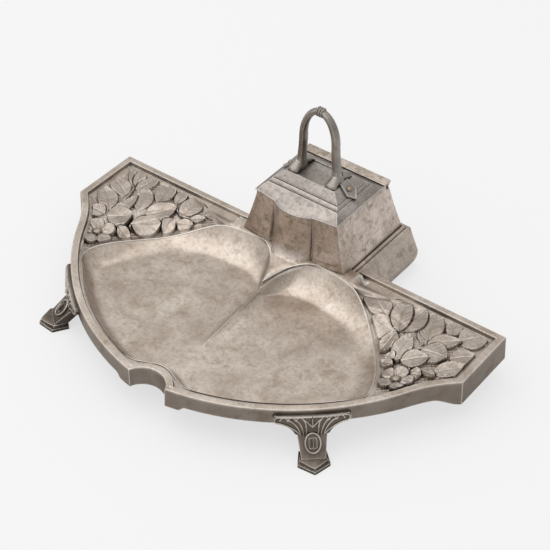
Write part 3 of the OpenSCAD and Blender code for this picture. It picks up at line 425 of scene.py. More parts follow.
@dataclass
class TrayForm:
    """The tray's plan and heights, which its skin and its leaf border share.

    A station is a number that runs along the right half of the rim, from the
    rear middle (0) over the rear edge, the straight side, the cove, the corner,
    the front arc and the notch to the front middle (46).
    """

    half_width: float = 151.0
    spread: float = 0.8
    side_length: float = 49.5
    arc_radius: float = 164.7
    arc_across: float = 15.9
    arc_behind: float = 1.4
    cove_reach: float = 76.0
    cove_hollow: float = 1.6
    notch_radius: float = 15.0
    notch_reach: float = 166.531
    rim_height: float = 31.0
    rim_width: float = 4.6
    wall_run: float = 2.8
    covered: float = 50.8
    floor: float = 19.0
    crest: float = 33.0
    cusp: float = 26.5
    saddle: float = 36.0
    low_lip: float = 22.0
    front_edge: float = 29.3
    front_inset: float = 7.0
    panel_floor: float = 28.0
    plateau: float = 33.25
    plateau_edge: float = 48.5
    fall_run: float = 25.2
    saddle_half: Pair = (12.0, 32.0)
    back_wall: float = 22.0
    side_wall: float = 15.0
    front_wall: float = 9.0
    wall_curve: float = 1.7
    ridge_width: float = 2.2
    middle: Pair = (0.0, -75.0)
    cusp_curve: Pairs = ((0.0, -50.0), (5.5, -27.0), (14.0, -21.5))
    crest_curve: Pairs = ((14.0, -21.5), (30.0, -15.5), (49.0, -21.0))
    side_curve: Pairs = ((49.0, -21.0), (68.0, -25.0))
    side_turns: Pairs = ((29.1, -27.9), (10.3, -35.4), (5.1, -37.6))
    dish_turn: float = -42.5
    ends: tuple[float, ...] = (5.0, 15.0, 19.0, 23.0, 27.0, 41.0, 46.0)
    saddle_end: float = 5.0
    crest_end: float = 8.0
    corner_end: Pair = (26.0, 27.0)
    counts: tuple[int, ...] = (16, 54, 34, 26, 22, 96, 30)

    def __post_init__(self) -> None:
        """Works out where the front arc meets the cove and the notch."""
        self.centre = np.array([-self.arc_across, self.arc_behind])
        notch = np.array([0.0, -self.notch_reach])
        gap = float(np.linalg.norm(notch - self.centre))
        along = (self.arc_radius ** 2 - self.notch_radius ** 2 + gap ** 2) / (2 * gap)
        across = math.sqrt(self.arc_radius ** 2 - along ** 2)
        way = (notch - self.centre) / gap
        corner = self.centre + along * way + across * np.array([-way[1], way[0]])
        self.notch_turn = math.degrees(math.atan2(corner[1] - self.centre[1],
                                                  corner[0] - self.centre[0]))
        self.notch_start = math.degrees(math.atan2(corner[1] + self.notch_reach, corner[0]))
        self.cove_turn = -math.degrees(math.asin((self.cove_reach + self.arc_behind)
                                                 / self.arc_radius))
        self.front_turn = self.notch_turn + 5.2

    def on_arc(self, radius: float, degrees: Array | float) -> Array:
        """Returns points of the right front arc at the given radius and angles."""
        return circle(self.centre, radius, np.radians(degrees))

    @staticmethod
    def followed(s: Array, curves: Sequence[tuple[float, Callable[[Array], Array]]]) -> Array:
        """Follows one plan curve after another.

        Args:
            s: Stations on the right half.
            curves: Each curve's last station, and the curve over 0 to 1.

        Returns:
            Plan points as rows.
        """
        out, start = np.zeros((len(s), 2)), 0.0
        for end, curve in curves:
            here = (s <= end) & ((s > start) | (start == 0.0))
            out[here] = curve((s[here] - start) / (end - start))
            start = end
        return out

    def right_stations(self) -> Array:
        """Spaces the stations of the right half, closer where the plan turns."""
        starts = (0.0,) + self.ends[:-1]
        parts = [np.linspace(a, b, n, endpoint=False)
                 for a, b, n in zip(starts, self.ends, self.counts)]
        return np.concatenate(parts + [np.array([self.ends[-1]])])

    def rim(self, s: Array) -> Array:
        """Places the rim's outer edge.

        Args:
            s: Stations on the right half.

        Returns:
            Plan points as rows.
        """
        e, radius = self.ends, self.arc_radius
        side_top = (self.half_width - self.spread, 0.0)
        side_end = np.array([self.half_width, -self.side_length])
        cove_end = self.on_arc(radius, self.cove_turn)
        way = unit(cove_end - side_end)
        cove_mid = (side_end + cove_end) / 2 - 2 * self.cove_hollow * np.array([-way[1], way[0]])
        return self.followed(s, (
            (e[0], lambda t: bezier([(0.0, 0.0), (self.covered, 0.0)], t)),
            (e[1], lambda t: bezier([(self.covered, 0.0), side_top], t)),
            (e[2], lambda t: bezier([side_top, side_end], t)),
            (e[3], lambda t: bezier([side_end, cove_mid, cove_end], t)),
            (e[4], lambda t: self.on_arc(radius, lerp(self.cove_turn, self.dish_turn, t))),
            (e[5], lambda t: self.on_arc(radius, lerp(self.dish_turn, self.notch_turn, t))),
            (e[6], lambda t: circle((0.0, -self.notch_reach), self.notch_radius,
                                    np.radians(lerp(self.notch_start, 90.0, t))))))

    def lip(self, s: Array) -> Array:
        """Places the dish's lip, which has one lobe on each side of the middle.

        Args:
            s: Stations on the right half.

        Returns:
            Plan points as rows.
        """
        e, radius = self.ends, self.arc_radius - self.front_inset
        front, notch = self.on_arc(radius, self.dish_turn), self.on_arc(radius, self.front_turn)
        bite = np.array([0.0, self.notch_radius + self.front_inset - self.notch_reach])
        ahead, end, turn = (self.on_arc(self.arc_radius - away, degrees)
                            for away, degrees in self.side_turns)
        return self.followed(s, (
            (self.saddle_end, lambda t: bezier(self.cusp_curve, t)),
            (self.crest_end, lambda t: bezier(self.crest_curve, t)),
            (e[3], lambda t: bezier([*self.side_curve, ahead, end], t)),
            (e[4], lambda t: bezier([end, turn, front], t)),
            (e[5], lambda t: self.on_arc(radius, lerp(self.dish_turn, self.front_turn, t))),
            (e[6], lambda t: bezier([notch, notch + (-11.0, -3.0), bite + (9.0, 0.0), bite], t))))

    @staticmethod
    def whole(half: Array) -> Array:
        """Mirrors right-half points into a loop that has both middle points once."""
        return np.concatenate([half, half[-2:0:-1] * (-1.0, 1.0)])

    def moved_out(self, s: Array, loop: Array, distance: Array | float) -> Array:
        """Moves the rim's loop outwards with mitred corners.

        Args:
            s: Stations of the right half.
            loop: The rim's plan points, both halves.
            distance: How far each point moves, in millimetres.

        Returns:
            The moved points; the straight rear edge and side keep their spacing.
        """
        ahead = unit(np.roll(loop, -1, axis=0) - loop)
        left = np.stack([-ahead[:, 1], ahead[:, 0]], axis=-1)
        before = np.roll(left, 1, axis=0)
        both = before + left
        out = loop + both * (np.asarray(distance) / (1 + (before * left).sum(axis=1)))[:, None]
        for start, end in ((self.ends[0], self.ends[1]), (self.ends[1], self.ends[2])):
            a, b = (int(np.argmin(np.abs(s - value))) for value in (start, end))
            if a == b:
                continue
            share = ((s[a:b + 1] - start) / (end - start))[:, None]
            run = lerp(out[a], out[b], share)
            out[a:b + 1] = run
            mirror = (len(loop) - np.arange(a, b + 1)) % len(loop)
            out[mirror] = run * (-1.0, 1.0)
        return out

    def outside(self, s: Array, foot: Array, lip: Array) -> tuple[Array, Array, Array]:
        """Finds the line just outside the lip, where the leaf panel ends.

        Args:
            s: Stations.
            foot: Plan points at the foot of the rim's inner face.
            lip: Plan points of the lip.

        Returns:
            Its plan points, the ways from the lip to them, and the gaps to the foot.
        """
        away = unit(foot - lip)
        points = lip + away * lerp(2.0, 0.7, ramp(s, *self.corner_end))[:, None]
        return points, away, np.linalg.norm(foot - points, axis=1)

    def lip_height(self, s: Array) -> Array:
        """Returns the lip's height at each station."""
        start, end, low = self.crest_end, self.ends[3], self.low_lip
        t = np.clip((s - start) / (end - start), 0, 1)
        side = np.where(t < 0.5, lerp(self.crest, low, (1 - np.cos(2 * np.pi * t)) / 2),
                        lerp(low, self.front_edge - 2, (1 - np.cos(2 * np.pi * t - np.pi)) / 2))
        rear = lerp(self.cusp, self.crest, np.sin(np.pi / 2 * np.clip(s / self.saddle_end, 0, 1)))
        corner = lerp(self.front_edge - 2, self.front_edge, ramp(s, end, self.ends[4]))
        return np.select([s <= self.saddle_end, s <= start, s <= end],
                         [rear, np.full(len(s), self.crest), side], corner)

    def foot_inset(self, s: Array) -> Array:
        """Returns how far inside the rim's outer edge the foot of its inner face lies."""
        run = lerp(self.wall_run, 0.6, ramp(s, self.ends[3], self.ends[4] - 1))
        return self.rim_width + run

    def foot_height(self, s: Array) -> Array:
        """Returns the height at the foot of the rim's inner face."""
        groove = self.front_edge - 0.55
        return lerp(self.panel_floor, groove,
                    np.clip((s - self.ends[3]) / (self.ends[4] - self.ends[3]), 0, 1))

    def outside_height(self, s: Array) -> Array:
        """Returns the height just outside the lip."""
        lip = self.lip_height(s)
        rear = lerp(lip, self.saddle, 0.35 * (1 - ramp(s, 3.5, 6.5)))
        beside = np.minimum(lip - 0.8, self.panel_floor)
        front = np.minimum(lip - 0.35, self.front_edge - 0.35)
        near = lerp(rear, beside, ramp(s, 7.6, 9.0))
        return lerp(near, front, ramp(s, self.ends[3], self.ends[3] + 1.5))

    def between(self, s: Array, t: float, plan: Array, gap: Array) -> Array:
        """Returns heights between the rim's foot and the lip's outside.

        Args:
            s: Stations.
            t: Share of the way, 0 at the rim's foot and 1 outside the lip.
            plan: The plan points there.
            gap: The whole distance from the rim's foot to the lip's outside.

        Returns:
            One height for each station.
        """
        outside, x = self.outside_height(s), np.abs(plan[:, 0])
        panel = lerp(outside, self.foot_height(s), ramp((1 - t) * gap, 0.0, self.fall_run))
        saddle = lerp(self.saddle, outside, t)
        plateau = lerp(self.saddle, self.plateau, ramp(x, *self.saddle_half))
        near = lerp(plateau, saddle, t)
        away = np.maximum(ramp(x, self.plateau_edge, self.plateau_edge + 2.6), ramp(s, 8.0, 9.0))
        return lerp(near, panel, away)

    def dish(self, s: Array, share: float, lip: Array) -> Array:
        """Returns the dish's heights along the rays to its lip.

        Args:
            s: Stations.
            share: Share of the way from the dish's middle to the lip.
            lip: The lip's plan points at those stations.

        Returns:
            One height for each station.
        """
        middle = np.array(self.middle)
        reach = np.linalg.norm(lip - middle, axis=1)
        gap = reach * (1.0 - share)
        width = lerp(self.back_wall, self.side_wall, ramp(s, 8.0, 14.0))
        width = lerp(width, self.front_wall, ramp(s, 22.0, 27.0))
        wall = np.clip(1.0 - gap / width, 0, 1) ** self.wall_curve
        point = lerp(middle, lip, share)
        back = np.clip((point[:, 1] + 110.0) / 60.0, 0, 1) ** 0.8
        fade = np.exp(-np.abs(point[:, 0]) / self.ridge_width)
        ridge = (self.cusp - self.floor - 1.5) * back * fade
        z = lerp(self.floor, self.lip_height(s), wall)
        return np.maximum(z, self.floor + ridge)


@dataclass
class TrayPlate:
    """The tray's polished plate: dish, beaded lip, rim, groove and skirt."""

    form: TrayForm
    plate: float = 2.0
    side_depth: float = 18.0
    cove_depth: float = 12.6
    front_depth: float = 10.5
    notch_depth: float = 13.8
    hem: float = 0.35
    lip_bead: float = 0.65
    sunk: float = 0.9
    dish_rings: int = 46
    seat_low: tuple[float, float, float] = (-40.2, -13.0, 29.9)
    seat_high: tuple[float, float, float] = (40.2, 60.0, 80.0)

    def skirt_depth(self, s: Array) -> Array:
        """Returns the skirt's depth, deepest at the sides and deeper at the notch."""
        e = self.form.ends
        arc = lerp(self.cove_depth, self.front_depth, np.clip((s - e[3]) / (e[4] - e[3]), 0, 1))
        side = lerp(self.side_depth, arc, ramp(s, e[2] + 0.15, e[2] + 2.1))
        return lerp(side, self.notch_depth, ramp(s, 39.3, 39.9))

    def rings(self) -> list[Array]:
        """Lays out the skin's rings from the dish's middle over the rim to the underside."""
        form = self.form
        right = form.right_stations()
        s = np.concatenate([right, right[len(right) - 2:0:-1]])
        rim = form.whole(form.rim(right))
        lip = form.whole(form.lip(right))
        middle = np.broadcast_to(np.array(form.middle), lip.shape)

        def moved(distance: Array | float) -> Array:
            """Moves the rim outwards."""
            return form.moved_out(right, rim, distance)

        foot = moved(-form.foot_inset(s))
        outside, away, gap = form.outside(s, foot, lip)
        depth = self.skirt_depth(s)
        rings: list[Array] = []

        def add(plan: Array, z: Array | float) -> None:
            """Adds one ring at its heights."""
            rings.append(level(plan, z))

        def panel(t: float, sunk: Array | float) -> None:
            """Adds one ring between the rim's foot and the lip's outside."""
            plan = lerp(foot, outside, t)
            add(plan, form.between(s, t, plan, gap) - sunk)

        for share in 1.0 - np.linspace(0.985, 0.018, self.dish_rings) ** 1.6:
            add(lerp(middle, lip, share), form.dish(s, float(share), lip))
        lip_z, bead = form.lip_height(s), self.lip_bead
        wide = lerp(1.0, 0.62, ramp(s, *form.corner_end))
        for turn in (150, 120, 90, 60, 30, 0):
            out = bead * math.cos(math.radians(turn)) * wide
            up = bead * math.sin(math.radians(turn)) - 0.5 * bead
            add(lip + away * out[:, None], lip_z + up)
        for t in np.linspace(1.0, 0.0, 17)[:-1]:
            cover = ramp(s, 8.6, 9.6) * (1 - ramp(s, 25.0, 26.5))
            panel(float(t), self.sunk * (1 - abs(2 * t - 1) ** 6) * cover)
        add(foot, form.foot_height(s))
        top, inner = form.rim_height, -form.rim_width
        floor = np.minimum(form.foot_height(s) + 0.35, top - 1.6)
        add(moved(inner - 0.6), floor)
        add(moved(inner - 0.3), lerp(floor, top - 0.9, 0.3))
        for out, below in ((inner - 0.1, 0.9), (inner + 0.02, 0.42), (inner + 0.2, 0.1),
                           (inner + 0.55, 0.0), (-2.9, 0.16), (-0.95, 0.0), (-0.4, 0.1),
                           (-0.1, 0.4), (0.0, 0.8)):
            add(moved(out), top - below)
        for t in (0.12, 0.3, 0.5, 0.7, 0.85, 0.95):
            add(moved(SKIRT_FLARE * t), top - depth * t)
        for out, z in ((SKIRT_FLARE, top - depth + self.hem), (SKIRT_FLARE - self.hem, top - depth),
                       (SKIRT_FLARE - self.plate, top - depth), (-self.plate, top - self.plate),
                       (inner, np.minimum(top, form.foot_height(s)) - self.plate)):
            add(moved(out), z)
        for t in (0.2, 0.4, 0.6, 0.8):
            panel(t, self.plate + self.sunk)
        add(outside, form.outside_height(s) - self.plate)
        for share in (0.96, 0.88, 0.75, 0.5, 0.2, 0.015):
            add(lerp(middle, lip, share), form.dish(s, share, lip) - self.plate)
        return rings

    def build(self, material: Material) -> None:
        """Builds the plate, cuts the ink house's seat out of it and dresses it."""
        piece = Piece.skin("tray_plate", self.rings())
        Piece.carve(piece, self.seat_low, self.seat_high)
        Piece.finish(piece, 32.0, Body.ROOT, Slot.TRAY, material, "tray")


@dataclass(frozen=True)
class Leaf:
    """One cast leaf: where it springs from, where its tip lies, and how wide it is."""

    root: Pair
    tip: Pair
    width: float
    rise: float = 1.9
    bend: float = 0.04
    fullness: float = 0.54
    tip_lift: float = 0.75
    roll: float = 0.32
    midrib: float = 0.42
    pitch: float = 3.4
    vein: float = 0.13
    edge: float = 0.45
    crease: float = 0.8

    def emboss(self, x: Array, y: Array, ground: Array, lift: Array) -> Array:
        """Lays the leaf over what is there.

        Args:
            x: Plan x of each place, in millimetres.
            y: Plan y of each place, in millimetres.
            ground: The relief's height so far.
            lift: How far the leaves stand off the panel, where it falls to the lip.

        Returns:
            The relief's height with this leaf on top and a crease round it.
        """
        root, tip = np.array(self.root), np.array(self.tip)
        length = float(np.linalg.norm(tip - root))
        way = (tip - root) / length
        u = ((x - root[0]) * way[0] + (y - root[1]) * way[1]) / length
        v = -(x - root[0]) * way[1] + (y - root[1]) * way[0]
        v = v - self.bend * length * np.sin(np.pi * np.clip(u, 0, 1))
        inside = np.clip(u, 0.001, 0.999)
        half = self.fullness * self.width * np.sin(np.pi * inside ** 0.86) ** 0.72
        half = np.maximum(half, 0.05)
        q = np.abs(v) / half
        cup = 0.66 + 0.34 * np.clip(q, 0, 1) ** 2.0
        z = self.rise * cup * (0.45 + 0.55 * ramp(inside, 0.0, 0.55))
        z += self.tip_lift * ramp(inside, 0.70, 1.0)
        z += self.roll * math.sin(1.3 * root[0] + 0.7 * tip[1]) * np.clip(v / half, -1, 1)
        z -= self.midrib * swell(v, 0.42) * (1 - 0.6 * inside)
        z += lift
        chevron = (u * length - 0.8 * np.abs(v)) / self.pitch
        vein = np.abs(chevron - np.round(chevron)) * self.pitch
        z -= self.vein * swell(vein, 0.42) * np.clip(q, 0, 1) ** 0.5 * ramp(inside, 0.05, 0.25)
        z *= np.clip((1.0 - q) * half / self.edge, 0, 1) ** 0.5
        over = (q < 1.0) & (u > 0.0) & (u < 1.0)
        gap = np.hypot(np.maximum(np.abs(v) - half, 0),
                       np.maximum(np.abs(u - 0.5) - 0.5, 0) * length)
        creased = ground - self.crease * swell(gap, 0.7) * (ground > 0.1)
        return np.where(over, np.maximum(z, 0.05), creased)


@dataclass(frozen=True)
class Stem:
    """A raised stem between two or more plan points."""

    points: Pairs
    radius: float = 1.0
    rise: float = 1.7
    crease: float = 0.4

    def emboss(self, x: Array, y: Array, ground: Array, lift: Array) -> Array:
        """Lays the stem over what is there; see Leaf.emboss."""
        line = bezier(self.points, np.linspace(0, 1, 24))
        gap = np.full(x.shape, 1e9)
        for a, b in zip(line, line[1:]):
            way = b - a
            t = np.clip(((x - a[0]) * way[0] + (y - a[1]) * way[1]) / (way @ way), 0, 1)
            gap = np.minimum(gap, np.hypot(x - a[0] - t * way[0], y - a[1] - t * way[1]))
        q = np.clip(gap / self.radius, 0, 1)
        round_top = np.where(gap < self.radius, self.rise * np.sqrt(1 - q * q) + 0.8 * lift, -9.0)
        creased = ground - self.crease * swell(gap, 1.5) * (ground > 0.1)
        return np.maximum(creased, round_top)


@dataclass(frozen=True)
class Blossom:
    """An open flower with ruffled petals round a beaded centre."""

    centre: Pair
    radius: float = 12.5
    petals: int = 5
    turn: float = 20.0
    rise: float = 2.3
    heart: float = 2.5
    fold: float = 0.9
    crease: float = 0.9

    def emboss(self, x: Array, y: Array, ground: Array, lift: Array) -> Array:
        """Lays the blossom over what is there; see Leaf.emboss."""
        dx, dy = x - self.centre[0], y - self.centre[1]
        r = np.hypot(dx, dy)
        angle = np.degrees(np.arctan2(dy, dx)) - self.turn
        step = 360.0 / self.petals
        share = ((angle + step / 2) % step - step / 2) / step
        rim = self.radius * (1 - 0.34 * np.abs(2 * share) ** 2.6
                             - 0.05 * np.sin(np.abs(share) * 40.0) ** 2)
        q = r / rim
        across = np.abs(share) * math.radians(step) * r
        z = self.rise * (0.40 + 0.60 * np.clip(q, 0, 1) ** 1.6)
        z -= self.fold * swell(math.radians(step) * r / 2 - across, 0.8)
        z -= 0.35 * swell(across, 0.45) * (1 - np.clip(q, 0, 1))
        z -= 0.16 * np.cos(share * 46.0) ** 2 * np.clip(q, 0, 1)
        z *= np.clip((1 - q) * rim / 0.6, 0, 1) ** 0.5
        heart = 1.15 + 1.15 * np.sqrt(np.clip(1 - (r / self.heart) ** 2, 0, 1))
        heart += 0.25 * np.sin(dx * 4.6) * np.sin(dy * 4.6)
        z = np.where(r < self.heart, np.maximum(z, heart), z - 0.5 * swell(r - 2.9, 0.5))
        gap = np.maximum(q - 1.0, 0) * rim
        creased = ground - self.crease * swell(gap, 0.8) * (ground > 0.1)
        return np.where(q < 1, np.maximum(z + lift, 0.05), creased)


def leaves(*rows: tuple[float, float, float, float, float]) -> tuple[Leaf, ...]:
    """Makes leaves out of rows of root x, root y, tip x, tip y and width."""
    return tuple(Leaf((row[0], row[1]), (row[2], row[3]), row[4]) for row in rows)


class Border(Enum):
    """The relief of each panel, the lowest leaves first; the left one is mirrored."""

    RIGHT = (
        Stem(((91, -33), (100, -39), (106, -50)), 1.0), Stem(((120, -16), (117, -26), (113, -31))),
        Stem(((128, -20), (119, -28), (113, -38))), Stem(((113, -30), (109, -40), (118, -58))),
        *leaves((80, -25, 56, -10, 16), (121, -17, 119, -4, 11), (128, -19, 141, -4, 18),
                (113, -33, 105, -19, 9), (113, -29, 104, -4, 15), (114, -32, 130, -18, 12),
                (92, -34, 72, -30, 14), (93, -34, 90, -50, 12), (95, -31, 97, -7, 17),
                (93, -32, 82, -4, 13), (106, -54, 102, -31, 12), (104, -52, 97, -52, 7),
                (106, -57, 96, -57, 6), (132, -35, 145, -24, 14), (114, -38, 131, -36, 19),
                (109, -53, 122, -42, 15), (131, -51, 146, -35, 12), (124, -53, 134, -54, 7),
                (119, -60, 127, -58, 11)),
        Blossom((115.6, -68.0), 11.4),
    )
    LEFT = (
        Stem(((127, -23), (122, -35), (122, -55)), 1.1), Stem(((103, -39), (108, -44), (104, -54))),
        Stem(((94, -19), (85, -29), (77, -25))),
        *leaves((71, -17, 63, -6, 11), (77, -25, 68, -20, 6), (127, -23, 144, -4, 8),
                (127, -21, 135, -4, 8), (125, -23, 120, -4, 10), (126, -32, 146, -23, 13),
                (105, -25, 109, -4, 13), (94, -19, 98, -4, 8), (84, -26, 84, -4, 14),
                (110, -39, 119, -18, 12), (103, -39, 91, -22, 16), (82, -33, 72, -28, 8),
                (86, -31, 85, -43, 9), (125, -50, 145, -34, 13), (122, -55, 119, -28, 9),
                (125, -55, 137, -57, 13), (122, -56, 109, -45, 20), (105, -52, 90, -39, 14),
                (110, -59, 98, -61, 8)),
        Blossom((117.0, -71.5), turn=50.0),
    )


@dataclass
class LeafRelief:
    """A panel of cast leaves between the rim and the dish's lip."""

    form: TrayForm
    border: Border
    ground: float = -0.35
    stipple: float = 0.10
    lift_below: float = 27.3
    lift_most: float = 3.6
    ceiling: float = 30.7
    thickness: float = 2.2
    across: int = 170
    along: int = 330

    def surface(self) -> Array:
        """Lays out the panel's top as rows of points from the rim to the lip.

        Returns:
            Points as rows x stations x 3, in millimetres, on the right side.
        """
        form = self.form
        ends = form.ends
        dense = np.linspace(8.0, ends[4] - 0.9, 4000)
        half_way = lerp(form.rim(dense), form.lip(dense), 0.5)
        run = np.concatenate([[0], np.cumsum(np.linalg.norm(np.diff(half_way, axis=0), axis=1))])
        s = np.interp(np.linspace(0, run[-1], self.along), run, dense)
        for value in ends[1:4]:
            s[np.argmin(np.abs(s - value))] = value
        order = np.unique(np.concatenate([form.right_stations(), s]))
        rim = form.whole(form.rim(order))
        inset = form.whole(np.column_stack([form.foot_inset(order)] * 2))[:, 1]
        foot_all = form.moved_out(order, rim, -inset)[:len(order)]
        foot, lip = foot_all[np.searchsorted(order, s)], form.lip(s)
        outside, _, gap = form.outside(s, foot, lip)
        shares = [float(t) for t in np.linspace(0.0, 1.0, self.across)]
        plans = [lerp(foot, outside, t) for t in shares]
        top = np.stack([level(plan, form.between(s, t, plan, gap))
                        for t, plan in zip(shares, plans)])
        x, y = top[..., 0], top[..., 1]
        relief = self.ground + self.stipple * np.sin(x * 1.9 + 0.7 * np.sin(y)) * np.sin(y * 2.1)
        share = np.linspace(0, 1, self.across)[:, None]
        lift = np.clip(self.lift_below - top[..., 2], 0, self.lift_most)
        lift = lift * ramp((1 - share) * gap[None, :], 0.5, 12.0)
        for one in self.border.value:
            relief = one.emboss(x, y, relief, lift)
        fade = ramp(share, 0.0, 0.015) * ramp(1 - share, 0.0, 0.035)
        fade = fade * (ramp(s, 8.2, 9.6) * (1 - ramp(s, ends[4] - 2.6, ends[4] - 1.2)))[None, :]
        top[..., 2] = np.minimum(top[..., 2] + relief * fade, np.maximum(top[..., 2], self.ceiling))
        return top

    def build(self, material: Material) -> None:
        """Builds the panel as a closed shell and dresses it."""
        top = self.surface()
        if self.border is Border.LEFT:
            top[..., 0] *= -1
        n, m = top.shape[:2]
        side = self.border.name.lower()
        edge = np.concatenate([top[0], top[1:, -1], top[-1, -2::-1], top[-2:0:-1, 0]])
        low = edge.copy()
        low[:, 2] -= self.thickness
        points = np.concatenate([top.reshape(-1, 3), low])
        index = np.arange(n * m).reshape(n, m)
        faces = np.stack([index[:-1, :-1], index[1:, :-1], index[1:, 1:], index[:-1, 1:]],
                         axis=-1).reshape(-1, 4).tolist()
        rim = np.concatenate([index[0], index[1:, -1], index[-1, -2::-1], index[-2:0:-1, 0]])
        skirt = np.arange(len(low)) + n * m
        faces += np.stack([rim, np.roll(rim, -1), np.roll(skirt, -1), skirt], axis=-1).tolist()
        first, last = skirt[:m], skirt[m + n - 2:2 * m + n - 2][::-1]
        faces += np.stack([first[1:-2], first[2:-1], last[2:-1], last[1:-2]], axis=-1).tolist()
        faces.append([int(first[0]), int(first[1]), int(last[1]), *map(int, skirt[2 * m + n - 3:])])
        faces.append([*map(int, skirt[m - 2:m + n - 1]), int(last[-2])])
        piece = Piece.made(f"leaf_relief_{side}", points, faces)
        Piece.finish(piece, 60.0, Body.ROOT, Slot.TRAY, material, "tray")


@dataclass(frozen=True)
class SilverPlate:
    """Silver plate on a cast white-metal body, dulled by age, dark in its hollows from tarnish and
    painted shade, with painted shade under its downward faces and a painted highlight on its edges.
    """

    name: str
    bright: str = "#cfc4b9"
    worn: str = "#b3a598"
    # Dark colour of the tarnish, also painted into hollows and onto downward faces as painted
    # shade.
    patina_and_shade_colour: str = "#4a423a"
    stain: str = "#7d705a"
    # Pale colour that convex edges are painted toward: polished plate and a painted highlight.
    edge: str = "#f4efe9"
    roughness: float = 0.36
    cloud_mm: float = 24.0
    speck_mm: float = 2.2
    stain_mm: float = 7.0
    stained: float = 0.0
    hollow_mm: float = 4.0
    hollow_power: float = 1.0
    dull: float = 0.30
    pitting: float = 0.05
    # How far convex edges are painted toward the edge colour: rubbed polish and a painted
    # highlight.
    rubbed_and_highlit: float = 0.6
    edge_mm: float = 0.6
    # How far faces that point downwards are painted toward the tarnish colour: painted shade.
    painted_downward_shade: float = 0.0

    def build(self) -> Material:
        """Builds the finish: satin metal clouded by wear, dark in hollows from tarnish and painted
        shade, darker on downward faces as painted shade, and bright on edges from polish and a
        painted highlight.

        Returns:
            The material.
        """
        material = bpy.data.materials.new(self.name)
        tree = cleared(material)
        place = node(tree, "ShaderNodeTexCoord").outputs
        surface = node(tree, "ShaderNodeNewGeometry").outputs["Normal"]
        bright, worn, patina_and_shade_colour, stain, edge = map(hex_linear, (
            self.bright, self.worn, self.patina_and_shade_colour, self.stain, self.edge))

        def noise(size_mm: float, detail: float, rough: float,
                  twist: float = 0.0) -> Socket:
            """Adds noise whose grains are about size_mm across."""
            return node(tree, "ShaderNodeTexNoise", Vector=place["Object"], Scale=1000.0 / size_mm,
                        Detail=detail, Roughness=rough, Distortion=twist).outputs["Fac"]

        def worked(operation: str, *values: object) -> Socket:
            """Adds a clamped sum on sockets and numbers."""
            return node(tree, "ShaderNodeMath", dict(enumerate(values)), operation=operation,
                        use_clamp=True).outputs[0]

        cloud = noise(self.cloud_mm, 4.0, 0.6, 0.8)
        speck = noise(self.speck_mm, 5.0, 0.65)
        spots = mapped(tree, noise(self.stain_mm, 6.0, 0.7, 0.4), 0.50, 0.66, 0.0, self.stained)
        base = mixed(tree, mapped(tree, cloud, 0.35, 0.68), worn, bright)
        base = mixed(tree, spots, base, stain)
        # Hollows are darkened toward the tarnish colour: tarnish that gathers there, and painted
        # shade.
        hollow = node(tree, "ShaderNodeAmbientOcclusion", samples=8,
                      Distance=self.hollow_mm * MM).outputs["AO"]
        shade = mapped(tree, hollow, 0.25, 0.95, self.hollow_power, 0.0)
        patch = mapped(tree, speck, 0.45, 0.72, 0.0, self.dull)
        # Faces that point downwards are darkened toward the tarnish colour: painted shade.
        facing = node(tree, "ShaderNodeSeparateXYZ", Vector=place["Normal"]).outputs["Z"]
        below = mapped(tree, facing, 0.45, -0.15, 0.0, self.painted_downward_shade)
        # Tarnish, dull patches and painted shade together darken the colour and roughen the
        # surface.
        painted_shade_and_patina_mask = worked("MAXIMUM", worked("MAXIMUM", shade, patch), below)
        # Convex edges are painted toward the pale edge colour: polish where the plate is rubbed,
        # and a painted highlight.
        blunt = node(tree, "ShaderNodeBevel", Radius=self.edge_mm * MM, samples=4).outputs[0]
        turned = node(tree, "ShaderNodeVectorMath", {0: blunt, 1: surface},
                      operation="DOT_PRODUCT").outputs["Value"]
        ridge = worked("MULTIPLY", mapped(tree, turned, 0.985, 0.90, 0.0, self.rubbed_and_highlit),
                       mapped(tree, hollow, 0.45, 0.8))
        colour = mixed(tree, ridge, mixed(tree, painted_shade_and_patina_mask, base, patina_and_shade_colour), edge)
        rough = mapped(tree, cloud, 0.3, 0.7, self.roughness - 0.06, self.roughness + 0.09)
        matt = worked("MULTIPLY_ADD", spots, 0.18, worked("MULTIPLY_ADD", painted_shade_and_patina_mask, 0.22, rough))
        bump = node(tree, "ShaderNodeBump", Height=speck, Strength=0.6,
                    Distance=self.pitting * MM).outputs["Normal"]
        principled(tree, colour, Metallic=1.0, Roughness=matt, Normal=bump)
        return material


@dataclass(frozen=True)
class InkGlass:
    """Old pressed glass, faintly green, with a breath of dried ink."""

    name: str = "pressed glass, faintly green, with dried ink"
    tint: str = "#e4efe6"
    ink: str = "#1c2434"
    roughness: float = 0.08
    index: float = 1.5

    def build(self) -> Material:
        """Builds the finish."""
        material = bpy.data.materials.new(self.name)
        tree = cleared(material)
        place = node(tree, "ShaderNodeTexCoord").outputs["Object"]
        film = node(tree, "ShaderNodeTexNoise", Vector=place, Scale=90.0, Detail=4.0).outputs["Fac"]
        share = mapped(tree, film, 0.5, 0.75, 0.0, 0.5)
        colour = mixed(tree, share, hex_linear(self.tint), hex_linear(self.ink))
        clear = mapped(tree, share, 0.0, 0.5, 0.92, 0.6)
        principled(tree, colour, Roughness=self.roughness, IOR=self.index,
                   **{"Transmission Weight": clear})
        return material


